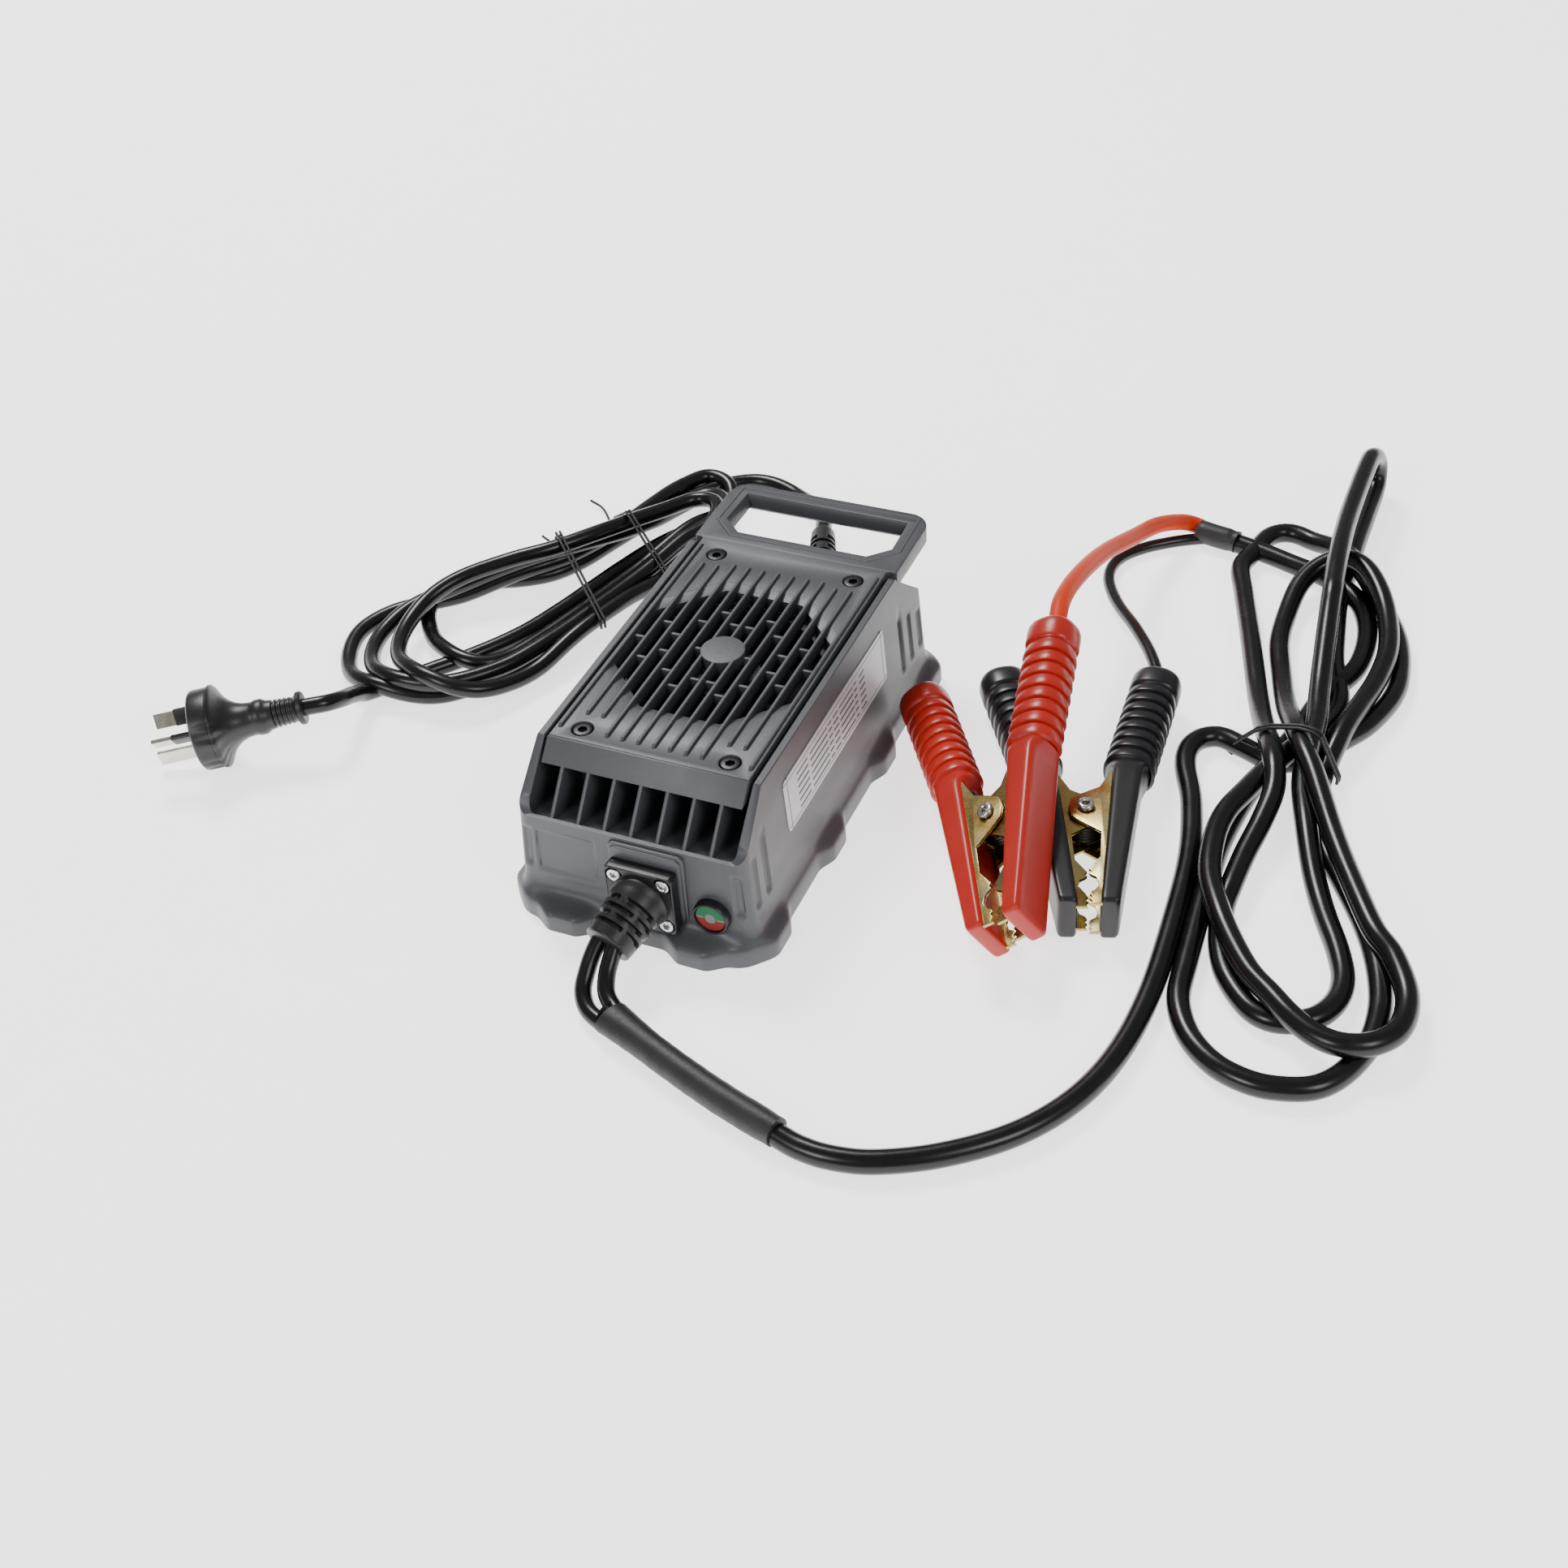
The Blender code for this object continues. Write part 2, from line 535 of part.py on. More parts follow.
# ---------------------------------------------------------------- cords
def make_cords():
    cord("output_lead_positive", [(4.8, -117.4, 17.0), (5.2, -123.4, 12.8), (7.3, -129.5, 9.2),
         (11, -133.6, 7.8), (14.9, -135.4, 7.7)], CONDUCTOR_D, "cord_black")
    cord("output_lead_negative", [(-2.1, -115.7, 17.0), (-3.0, -122.4, 12.4), (-2.0, -130.5, 7.6),
         (3.2, -137.8, 4.6), (12.2, -141.3, 3.9)], CONDUCTOR_D, "cord_black")
    cord("lead_sleeve", [(15.0, -138.9, 6.3), (40, -149.5, 6.2), (65, -158.8, 6.1), (90, -166.5, 6.1)],
         SLEEVE_D, "sleeve_black")
    cord("output_cable", [(91.0, -166.8, 5), (99, -168.6, 4.8), (110, -169, 4.8), (125, -165.6, 4.8), (145, -155, 4.8),
         (165, -138, 4.8), (179, -117, 4.8), (187, -92, 4.8), (189, -60, 4.8), (187, -20, 4.8),
         (184, 15, 4.8), (177, 45, 4.8), (169, 66, 4.8), (167, 80, 4.8), (173, 89, 4.8),
         (184, 89, 4.8), (196.2, 86, 4.8)], OUTPUT_D, "cord_black")
    lobes = [(198, 78), (196, 55), (194.5, 20), (197, -20), (199, -50), (207, -80), (230, -95), (258, -88),
             (278, -66), (280, -40), (268, -2), (246, 45), (222, 82), (228, 100), (241, 122), (243, 150),
             (236, 178), (220, 205), (208, 226), (206, 262), (205, 284), (197, 293), (188, 284), (187, 252),
             (182, 242), (166, 245), (154, 234), (149, 214), (156, 186), (172, 145), (188, 110), (197, 94)]
    hank("output_hank", lobes, 0.3, 17.5, "cord_black")
    tie("output_tie", (196.4, 78.7), (223.8, 86.0), 17.5)

    cord("splice_sleeve", [(146.8, 226.6, 5.7), (139, 228, 5.7), (132.4, 229.6, 5.7)], 10.4, "sleeve_black")
    cord("lead_red", [(129.9, 233.6, 5.4), (123.5, 231, 8.5), (115.5, 213, 16.5), (111, 190, 24), (107, 153, 38), (107, 117, 50),
         (107.9, 90, 55.6), (110.0, 75.5, 53.1)], RED_D, "lead_red")
    cord("lead_black", [(130.5, 226.2, 3.2), (120.5, 220.5, 3.2), (108, 208, 3.2), (101, 196, 3.2), (104, 181, 4),
         (114, 165, 7), (129, 145, 10.5), (141.5, 126, 11.9), (144.9, 111.4, 11.9)], BLACK_D, "cord_black")

    cord("mains_cord", [(-21.1, 148.2, 24.2), (-25.5, 159.5, 22.6), (-36, 180, 14), (-50, 197, 7), (-66, 206.5, 4.4),
         (-85, 210.5, 4.4)], MAINS_D, "cord_black")
    loops = [(-150, -1), (-128, 14), (-108, 40), (-96, 75), (-88, 105), (-82, 140), (-80, 170), (-86, 198),
             (-99, 212), (-114, 205), (-125, 180), (-132, 142), (-152, 112), (-188, 92), (-206, 66),
             (-208, 44), (-198, 18), (-180, 2), (-165, -3)]
    hank("mains_hank", loops, 0.3, 22, "cord_black")
    tie("mains_tie_1", (-144.8, 123.1), (-94.4, 75.0), 22)
    tie("mains_tie_2", (-130.8, 155.3), (-83.5, 120.2), 22)
    cord("mains_tail", [(-172.0, -6.8, 11), (-170.4, -15, 15.5), (-168.6, -25, 20.8), (-170.9, -32.4, 23.8),
         (-175.9, -35.9, 23.5)], MAINS_D, "cord_black")


# ---------------------------------------------------------------- mains plug
def make_plug():
    face = Vector((-216.3, -60.1, 18.1))
    turn, dip = math.radians(31), math.radians(6.5)
    aim = Vector((-math.cos(turn) * math.cos(dip), -math.sin(turn) * math.cos(dip), -math.sin(dip)))
    across = aim.cross(Vector((0, 0, 1))).normalized()
    up = across.cross(aim)
    profile = [(0, 0), (0, 16.6), (0.8, 17), (8, 17), (8.4, 17.6), (9.2, 17.6), (10.2, 16), (12.4, 12.2),
               (15.5, 9.1), (19, 7.4), (23, 6.9), (26, 7.2), (28.5, 7.2), (30, 6.2), (40.5, 5.7),
               (42.2, 7.1), (44.6, 7.1), (45.2, 6.3), (45.2, 0)]
    body = turned("plug_body", profile, 24, face, -aim, "gland_black")
    roll = math.radians(175)
    pins = (("plug_pin_earth", 0, 10.31, 0, 20.0), ("plug_pin_active", 120, 7.92, -30, 17.1),
            ("plug_pin_neutral", -120, 7.92, 30, 17.1))
    for name, offset, distance, slant, length in pins:
        a = roll + math.radians(offset)
        outward = up * math.cos(a) + across * math.sin(a)
        wide = outward if offset == 0 else up * math.cos(roll + math.radians(slant)) \
            + across * math.sin(roll + math.radians(slant))
        thin = wide.cross(aim)
        root = face + outward * distance

        def blade(label, grow, start, end, slot=None):
            corners = [(-3.15 - grow, -0.8 - grow), (3.15 + grow, -0.8 - grow),
                       (3.15 + grow, 0.8 + grow), (-3.15 - grow, 0.8 + grow)]
            rings = [[root + aim * s + wide * w + thin * t for w, t in corners] for s in (start, end)]
            return loft(label, rings, slot)
        cut(body, blade("cut_pin", GAP, -6, 1))
        blade(name, 0, -5.5, length, "pin")


# ---------------------------------------------------------------- clamps
def clamp_frame(pivot, yaw, pitch, roll):
    """Rotation of a clamp's own axes: u to the tips, w to the fixed half, h along the rivet."""
    yaw, pitch, roll = (math.radians(v) for v in (yaw, pitch, roll))
    u = Vector((math.sin(yaw) * math.cos(pitch), -math.cos(yaw) * math.cos(pitch), -math.sin(pitch)))
    level = Vector((math.cos(yaw), math.sin(yaw), 0))
    rise = u.cross(level)
    w = level * math.cos(roll) + rise * math.sin(roll)
    h = rise * math.cos(roll) - level * math.sin(roll)
    matrix = Matrix((u, w, h)).transposed().to_4x4()
    matrix.translation = Vector(pivot) * MM
    return matrix


def make_half(name, side, ear, colour):
    """One half: a stamped steel channel in a plastic sheath. side is 1 for the half on the +w side."""
    def flip(outline):
        return [(u, side * w) for u, w in outline]

    web = [(-58, 28.3), (GRIP_START, 21.2), (51, 9.3), (53.3, 8.7), (JAW_TIP, 0.2)]
    mouth = [(47, 0.2), (44.5, 3.2), (40.5, 3.2), (38, 0.2), (34.5, 0.2), (28, 4.6), (14, 5.6), (8, -2.5),
             (5, -5.5), (0, -6.6), (-5, -5.5), (-8, -1.5), (-12, 5.5), (-28, 13.4), (-58, 21.2)]
    steel = prism(f"{name}_steel", flip(web + mouth), 2, -ear, ear, "zinc")
    inside = [(-60, 26.8), (GRIP_START, 19.7), (51, 7.8), (60, 6.4), (60, -9), (-60, -9)]
    inner = ear - 1.4
    cut(steel, prism("cut_channel", flip(inside), 2, -inner, inner))
    cut(steel, rod("cut_rivet", 3.2, 14, (0, 0, -12), (0, 0, 1), 24))

    slope = (HALF_SPREAD - GRIP_W) / (GRIP_END - GRIP_START)
    along = Vector((1, side * slope, 0)).normalized()
    end = Vector((GRIP_END, side * HALF_SPREAD, 0))
    length = (GRIP_START - GRIP_END) * math.hypot(1, slope)
    profile = [(0, 0), (0, 8.6), (1.2, 9.6), (3, GRIP_R), (11, GRIP_R)]
    rings = 8
    for k in range(rings):
        start = 12 + k * (length - 14) / rings
        profile += [(start, GRIP_R - 1.1), (start + 5.2, GRIP_R)]
    profile += [(length, GRIP_R - 0.6), (length + 4, 0)]
    sheath = turned(f"{name}_sheath", profile, 16, end, along, colour)
    cover = [(GRIP_START - 3, 24.2), (JAW_COVER, 11.4), (JAW_COVER, 3.9), (GRIP_START - 3, 11.4)]
    fuse(sheath, prism("add_cover", flip(cover), 2, -COVER_HALF, COVER_HALF))
    room = ear + 0.35
    slot = [(-60, 29.0), (GRIP_START, 21.6), (JAW_COVER + 2, 9.25), (JAW_COVER + 2, -4), (-20, -4),
            (GRIP_START - 2, 12.9), (-60, 20.5)]
    cut(sheath, prism("cut_slot", flip(slot), 2, -room, room))
    return [steel, sheath]


def make_clamp(name, pose, colour, fixed_side):
    """A sprung clamp. The empty on the rivet's axis carries the pose; the second one is the joint."""
    matrix = clamp_frame(*pose)
    seat = bpy.data.objects.new(f"{name}_seat", None)
    hinge = bpy.data.objects.new(f"{name}_hinge", None)
    for empty in (seat, hinge):
        bpy.context.scene.collection.objects.link(empty)
        empty.matrix_world = matrix
    fixed = make_half(f"{name}_fixed", fixed_side, 6.3, colour)
    moving = make_half(f"{name}_moving", -fixed_side, 8.0, colour)
    head = 8.35
    profile = [(-RIVET_HALF, 0), (-RIVET_HALF, 3.4), (-RIVET_HALF + 0.8, 4.3), (-head, 4.3), (-head, 2.9),
               (head, 2.9), (head, 4.3), (RIVET_HALF - 0.8, 4.3), (RIVET_HALF, 3.4), (RIVET_HALF, 0)]
    rivet = turned(f"{name}_rivet", profile, 14, (0, 0, 0), (0, 0, 1), "steel")
    ring = [(-4.2, 3.6), (-4.2, 6.4), (4.2, 6.4), (4.2, 3.6)]
    spring = turned(f"{name}_spring", ring, 14, (0, 0, 0), (0, 0, 1), "spring", bore=True)
    fuse(spring, box("add_leg", (-24, 4.0, -4.0), (-1, 6.0, -2.0)))
    fuse(spring, box("add_leg", (-20, -6.0, 2.0), (-1, -4.0, 4.0)))
    groups = ((seat, fixed + [rivet, spring]), (hinge, moving))
    for parent, children in groups:
        for child in children:
            child.parent = parent
            for step in child.modifiers:
                step.object.parent = parent


def main():
    clear_scene()
    make_case()
    make_cover()
    make_fan()
    make_electronics()
    make_fittings()
    make_cords()
    make_plug()
    make_clamp("black_clamp", ((142.6, 12.6, 11.9), 18.4, 0, 0), "grip_black", -1)
    make_clamp("red_clamp", ((117.0, -14.8, 26.3), 21.5, 5.5, 34.6), "red", 1)


main()
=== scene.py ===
import math
import bmesh
import bpy
import numpy as np
from mathutils import Matrix


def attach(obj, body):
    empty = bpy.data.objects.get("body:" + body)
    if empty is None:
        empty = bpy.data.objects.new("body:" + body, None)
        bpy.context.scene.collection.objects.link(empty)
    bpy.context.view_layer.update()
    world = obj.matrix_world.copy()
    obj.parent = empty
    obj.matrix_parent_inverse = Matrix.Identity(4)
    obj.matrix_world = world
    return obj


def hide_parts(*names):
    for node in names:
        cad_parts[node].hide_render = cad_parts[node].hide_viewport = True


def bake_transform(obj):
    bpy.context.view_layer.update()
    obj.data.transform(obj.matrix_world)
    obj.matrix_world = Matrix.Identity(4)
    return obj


# Lengths are in millimetres until a mesh is made. The charger's output end faces -Y.
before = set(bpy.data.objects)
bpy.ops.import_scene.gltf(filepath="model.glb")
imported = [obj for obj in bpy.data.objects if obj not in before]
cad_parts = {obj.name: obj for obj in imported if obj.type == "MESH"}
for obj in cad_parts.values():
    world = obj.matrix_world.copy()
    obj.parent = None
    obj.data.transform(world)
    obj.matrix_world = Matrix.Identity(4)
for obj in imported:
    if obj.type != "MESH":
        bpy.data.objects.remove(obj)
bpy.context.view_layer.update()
mm = 0.001
print("frame loaded")


# camera
viewpoint = {
    "place": (308.285, -591.737, 561.341),
    "right": (0.91852, 0.39124, -0.05701),
    "down": (0.21281, -0.61074, -0.7627),
    "ahead": (-0.33322, 0.68842, -0.64424),
    "lens": 49.34,
    "sensor": 36.0,
}


def makeCamera():
    data = bpy.data.cameras.new("viewCamera")
    data.lens, data.sensor_width = viewpoint["lens"], viewpoint["sensor"]
    data.clip_end = 50
    turn = np.eye(4)
    turn[:3, 0] = viewpoint["right"]
    turn[:3, 1] = -np.array(viewpoint["down"])
    turn[:3, 2] = -np.array(viewpoint["ahead"])
    turn[:3, 3] = np.array(viewpoint["place"]) * mm
    camera = bpy.data.objects.new("viewCamera", data)
    camera.matrix_world = Matrix(turn.tolist())
    bpy.context.scene.collection.objects.link(camera)
    bpy.context.scene.camera = camera


makeCamera()


# shader maths: a socket with arithmetic
class Value:
    def __init__(self, paint, socket):
        self.paint, self.socket = paint, socket

    def run(self, operation, *others, flip=False):
        items = (others[0], self) if flip else (self, *others)
        return self.paint.node("ShaderNodeMath", {"operation": operation}, items)

    def __add__(self, other): return self.run("ADD", other)
    def __sub__(self, other): return self.run("SUBTRACT", other)
    def __mul__(self, other): return self.run("MULTIPLY", other)
    def __truediv__(self, other): return self.run("DIVIDE", other)
    def __pow__(self, other): return self.run("POWER", other)
    def __gt__(self, other): return self.run("GREATER_THAN", other)
    def __lt__(self, other): return self.run("LESS_THAN", other)
    def __mod__(self, other): return self.run("FLOORED_MODULO", other)
    def __rsub__(self, other): return self.run("SUBTRACT", other, flip=True)
    def __rtruediv__(self, other): return self.run("DIVIDE", other, flip=True)
    __radd__, __rmul__ = __add__, __mul__

    def size(self): return self.run("ABSOLUTE")
    def floor(self): return self.run("FLOOR")
    def clamp(self): return self.paint.node("ShaderNodeClamp", {}, (self,))


class Paint:
    def __init__(self, name):
        self.material = bpy.data.materials.new(name)
        self.material.use_nodes = True
        self.tree = self.material.node_tree
        self.shader = self.tree.nodes["Principled BSDF"]

    def node(self, kind, settings, inputs=(), output=0):
        made = self.tree.nodes.new(kind)
        for key, setting in settings.items():
            if key == "stops":
                ramp = made.color_ramp
                while len(ramp.elements) < len(setting):
                    ramp.elements.new(0.5)
                for element, (place, colour) in zip(ramp.elements, setting):
                    element.position, element.color = place, (*colour, 1)
            else:
                setattr(made, key, setting)
        pairs = inputs.items() if isinstance(inputs, dict) else enumerate(inputs)
        for key, item in pairs:
            self.feed(made.inputs[key], item)
        return Value(self, made.outputs[output])

    def feed(self, socket, item):
        if isinstance(item, Value):
            self.tree.links.new(item.socket, socket)
        elif isinstance(item, tuple) and len(item) == 3 and socket.type == "RGBA":
            socket.default_value = (*item, 1)
        else:
            socket.default_value = item

    def place(self):
        return self.node("ShaderNodeTexCoord", {}, (), "Object")

    def parts(self, at=None):
        split = self.node("ShaderNodeSeparateXYZ", {}, (at or self.place(),))
        return [Value(self, output) for output in split.socket.node.outputs]

    def stretched(self, scale, turn=(0.0, 0.0, 0.0)):
        return self.node("ShaderNodeMapping", {}, {"Vector": self.place(), "Scale": scale, "Rotation": turn})

    def noise(self, scale, detail=3.0, at=None, rough=0.5):
        inputs = {"Vector": at or self.place(), "Scale": float(scale), "Detail": detail, "Roughness": rough}
        return self.node("ShaderNodeTexNoise", {}, inputs)

    def blend(self, factor, first, second):
        mix = self.node("ShaderNodeMix", {"data_type": "RGBA"}, {"Factor": factor})
        sockets = [s for s in mix.socket.node.inputs if s.type == "RGBA"]
        self.feed(sockets[0], first)
        self.feed(sockets[1], second)
        colour = [s for s in mix.socket.node.outputs if s.type == "RGBA"][0]
        return Value(self, colour)

    def ramp(self, factor, stops):
        return self.node("ShaderNodeValToRGB", {"stops": stops}, (factor,))

    def relief(self, height, depth, strength=1.0):
        return self.node("ShaderNodeBump", {}, {"Height": height, "Distance": depth * mm,
                                                "Strength": strength})

    def finish(self, **inputs):
        for key, item in inputs.items():
            words = "".join(" " + c if c.isupper() else c for c in key).strip().title()
            name = {"Ior": "IOR", "Specular": "Specular IOR Level"}.get(words, words)
            self.feed(self.shader.inputs[name], item)
        return self.material


plastic = {
    "casePlastic": ((0.056, 0.058, 0.065), 0.40, 1500.0, 0.05),
    "coverPlastic": ((0.060, 0.062, 0.069), 0.42, 1500.0, 0.05),
    "fanPlastic": ((0.007, 0.007, 0.008), 0.38, 900.0, 0.02),
    "glandPlastic": ((0.006, 0.006, 0.007), 0.40, 1700.0, 0.05),
    "plugRubber": ((0.006, 0.006, 0.007), 0.40, 1200.0, 0.03),
    "blackGrip": ((0.007, 0.007, 0.009), 0.36, 900.0, 0.03),
    "redGrip": ((0.43, 0.014, 0.006), 0.34, 900.0, 0.03),
}


def moulded(name):
    colour, rough, grain, depth = plastic[name]
    paint = Paint(name)
    fine = paint.noise(grain, 4.0)
    broad = paint.noise(24.0, 3.0)
    scuff = paint.noise(90.0, 5.0, paint.stretched((1.0, 0.25, 1.0)))
    lighter = tuple(min(1.0, 1.16 * c + 0.002) for c in colour)
    darker = tuple(0.86 * c for c in colour)
    tone = paint.blend((broad - 0.3) * 1.7, darker, lighter)
    tone = paint.blend((fine - 0.55).clamp() * 1.5, tone, tuple(min(1.0, 1.35 * c + 0.004) for c in colour))
    shine = rough + (scuff - 0.5) * 0.16 + (fine - 0.5) * 0.12
    return paint.finish(BaseColor=tone, Roughness=shine, Specular=0.45, Normal=paint.relief(fine, depth))


def cordSkin(name, colour, rough, ripple, shineLevel=0.38):
    paint = Paint(name)
    grain = paint.noise(700.0, 3.0)
    wave = paint.noise(55.0, 2.0)
    dust = paint.noise(160.0, 5.0)
    tone = paint.blend((dust - 0.55).clamp() * 1.2, colour, tuple(1.4 * c + 0.004 for c in colour))
    shine = rough + (wave - 0.5) * 0.12 + (dust - 0.5) * 0.14
    bump = paint.relief(grain * 0.35 + wave * 0.65, ripple)
    return paint.finish(BaseColor=tone, Roughness=shine, Specular=shineLevel, Normal=bump)


def shrinkSkin():
    paint = Paint("shrinkSleeve")
    grain = paint.noise(1300.0, 4.0)
    crease = paint.noise(120.0, 3.0, paint.stretched((1.0, 1.0, 2.5)))
    tone = paint.blend((crease - 0.4) * 1.5, (0.006, 0.006, 0.007), (0.018, 0.018, 0.020))
    bump = paint.relief(grain * 0.3 + crease * 0.7, 0.25)
    return paint.finish(BaseColor=tone, Roughness=0.52 + (grain - 0.5) * 0.2, Normal=bump)


def zincSkin():
    paint = Paint("yellowZinc")
    cloud = paint.noise(70.0, 3.0)
    grain = paint.noise(800.0, 4.0, paint.stretched((1.0, 1.0, 0.3)))
    tone = paint.ramp(cloud, [(0.3, (0.34, 0.22, 0.06)), (0.45, (0.46, 0.34, 0.12)),
                              (0.58, (0.40, 0.36, 0.17)),
                              (0.72, (0.50, 0.40, 0.22))])
    shine = 0.28 + (grain - 0.5) * 0.14 + (cloud - 0.5) * 0.1
    return paint.finish(BaseColor=tone, Roughness=shine, Metallic=1.0, Normal=paint.relief(grain, 0.005))


def metalSkin(name, colour, rough, scratch=500.0):
    paint = Paint(name)
    brushed = paint.noise(scratch, 5.0, paint.stretched((1.0, 0.2, 1.0)))
    broad = paint.noise(60.0, 3.0)
    tone = paint.blend((broad - 0.3) * 1.6, tuple(0.8 * c for c in colour), colour)
    shine = rough + (brushed - 0.5) * 0.25
    return paint.finish(BaseColor=tone, Roughness=shine, Metallic=1.0, Normal=paint.relief(brushed, 0.02))


def labelSkin():
    paint = Paint("silverLabel")
    x, y, z = paint.parts()
    along, high = y * 1000.0, z * 1000.0
    rows = ((high / 3.1) % 1.0 - 0.5).size() < 0.16
    words = paint.noise(260.0, 1.0, paint.stretched((0.0, 1.0, 0.0001))) > 0.42
    span = ((along + 6.0).size() < 34.0) * ((high - 43.0).size() < 8.5)
    frameLine = ((((along + 1.0).size() - 47.5).size() < 0.35) + (((high - 43.85).size() - 10.1).size() < 0.3)).clamp()
    ink = (rows * words * span * 0.95 + frameLine * 0.7).clamp()
    grain = paint.noise(900.0, 3.0, paint.stretched((1.0, 0.15, 1.0)))
    foil = paint.blend(grain, (0.40, 0.41, 0.43), (0.56, 0.57, 0.59))
    tone = paint.blend(ink, foil, (0.03, 0.03, 0.035))
    shine = 0.36 + (grain - 0.5) * 0.2 + ink * 0.2
    return paint.finish(BaseColor=tone, Roughness=shine, Metallic=0.25, Normal=paint.relief(grain, 0.01))


def lensSkin(middle=19.5, half=0.35):
    paint = Paint("indicatorLens")
    x, y, z = paint.parts()
    high = z * 1000.0 - middle
    grain = paint.noise(500.0, 2.0)
    sides = paint.blend(high > 0.0, (0.20, 0.012, 0.010), (0.006, 0.13, 0.05))
    across = x * 1000.0 - 32.4
    button = (across * across + high * high) < 2.1 * 2.1
    band = (high.size() < half) * (across.size() > 2.8)
    tone = paint.blend((button + band).clamp(), sides, (0.16, 0.17, 0.17))
    tone = paint.blend(grain * 0.1, tone, (0.06, 0.06, 0.06))
    return paint.finish(BaseColor=tone, Roughness=0.42 + grain * 0.1, Specular=0.2,
                        Normal=paint.relief(grain, 0.02))


def boardSkin():
    paint = Paint("boardLacquer")
    x, y, z = paint.parts()
    weave = paint.noise(600.0, 3.0)
    tracks = ((x * 1000.0 / 3.2) % 1.0 - 0.5).size() < 0.12
    rows = paint.noise(80.0, 1.0, paint.stretched((1.0, 0.3, 0.0))) > 0.5
    tone = paint.blend(tracks * rows, (0.010, 0.085, 0.035), (0.03, 0.16, 0.06))
    return paint.finish(BaseColor=tone, Roughness=0.3 + weave * 0.15, Normal=paint.relief(weave, 0.02))


def windingSkin():
    paint = Paint("copperWinding")
    x, y, z = paint.parts()
    turns = ((z * 1000.0 / 0.7) % 1.0 - 0.5).size()
    cloud = paint.noise(90.0, 3.0)
    tone = paint.blend(turns * 1.6, (0.42, 0.17, 0.06), (0.16, 0.06, 0.025))
    return paint.finish(BaseColor=tone, Roughness=0.3 + cloud * 0.15, Metallic=0.7,
                        Normal=paint.relief(turns, 0.2))


skins = {name: moulded(name) for name in plastic}
skins["cordBlack"] = cordSkin("cordBlack", (0.003, 0.003, 0.004), 0.27, 0.03)
skins["leadRed"] = cordSkin("leadRed", (0.60, 0.040, 0.006), 0.50, 0.05, 0.2)
skins["shrink"] = shrinkSkin()
skins["zinc"] = zincSkin()
skins["bright"] = metalSkin("brightSteel", (0.66, 0.66, 0.67), 0.27)
skins["pin"] = metalSkin("pinBrass", (0.72, 0.69, 0.60), 0.22)
skins["spring"] = metalSkin("springSteel", (0.07, 0.07, 0.075), 0.34)
skins["screwBlack"] = metalSkin("blackScrew", (0.045, 0.045, 0.047), 0.38)
skins["aluminium"] = metalSkin("heatAluminium", (0.62, 0.62, 0.64), 0.33)
skins["label"] = labelSkin()
skins["lens"] = lensSkin()
skins["board"] = boardSkin()
skins["winding"] = windingSkin()
print("finishes made")


# shape helpers: a part is a pair of points and faces
def skin(rows, wrap=True, loop=False, caps=True):
    # quads between neighbouring points of a grid; wrap closes each row, loop joins the last row to the first
    rows = np.asarray(rows, float)
    count, around = rows.shape[:2]
    tops = np.arange(count if loop else count - 1)
    sides = np.arange(around if wrap else around - 1)
    a = (tops[:, None] * around + sides).ravel()
    b = (tops[:, None] * around + (sides + 1) % around).ravel()
    c = (((tops + 1) % count)[:, None] * around + (sides + 1) % around).ravel()
    d = (((tops + 1) % count)[:, None] * around + sides).ravel()
    faces = np.stack([a, b, c, d], 1).tolist()
    if caps and wrap and not loop:
        faces.append(list(range(around))[::-1])
        faces.append(list(range((count - 1) * around, count * around)))
    return rows.reshape(-1, 3), faces


def piece(name, parts, finish, slotName, nodes=(), body="charger", crease=35, smooth=True):
    points, faces, base = [], [], 0
    for cloud, quads in parts:
        points.append(cloud)
        faces += [[base + i for i in quad] for quad in quads]
        base += len(cloud)
    mesh = bpy.data.meshes.new(name)
    mesh.from_pydata((np.concatenate(points) * mm).tolist(), [], faces)
    bm = bmesh.new()
    bm.from_mesh(mesh)
    bmesh.ops.remove_doubles(bm, verts=bm.verts, dist=1e-7)
    bmesh.ops.recalc_face_normals(bm, faces=bm.faces)
    bm.to_mesh(mesh)
    bm.free()
    if smooth:
        mesh.shade_smooth()
        mesh.set_sharp_from_angle(angle=math.radians(crease))
    mesh.materials.append(skins[finish])
    return place(bpy.data.objects.new(name, mesh), slotName, nodes, body)


def place(made, slotName, nodes=(), body="charger"):
    bpy.context.scene.collection.objects.link(made)
    if body:
        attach(made, body)
    if nodes:
        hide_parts(*nodes)
    return made


def unit(v):
    v = np.asarray(v, float)
    return v / np.linalg.norm(v, axis=-1, keepdims=True)


def insetOutline(outline, depth):
    # each corner moves inwards along the middle of its two edge normals
    p = np.asarray(outline, float)
    before, after = unit(p - np.roll(p, 1, 0)), unit(np.roll(p, -1, 0) - p)
    normal = np.stack([before[:, 1] + after[:, 1], -before[:, 0] - after[:, 0]], 1)
    area = np.sum(p[:, 0] * np.roll(p[:, 1], -1) - np.roll(p[:, 0], -1) * p[:, 1])
    normal *= -1 if area > 0 else 1
    dot = 1 + np.sum(before * after, 1, keepdims=True)
    return p + normal * depth / np.maximum(dot, 0.35)


def bar(outline, axis, low, high, edge=0.3):
    # an outline carried along one axis, its two ends eased by a round edge
    profile = [(low, edge), (low + 0.3 * edge, 0.3 * edge), (low + edge, 0.0)]
    profile += [(high - edge, 0.0), (high - 0.3 * edge, 0.3 * edge), (high, edge)]
    grid = []
    for at, inset in profile:
        flat = insetOutline(outline, inset)
        grid.append(np.insert(flat, axis, at, axis=1))
    return skin(grid)


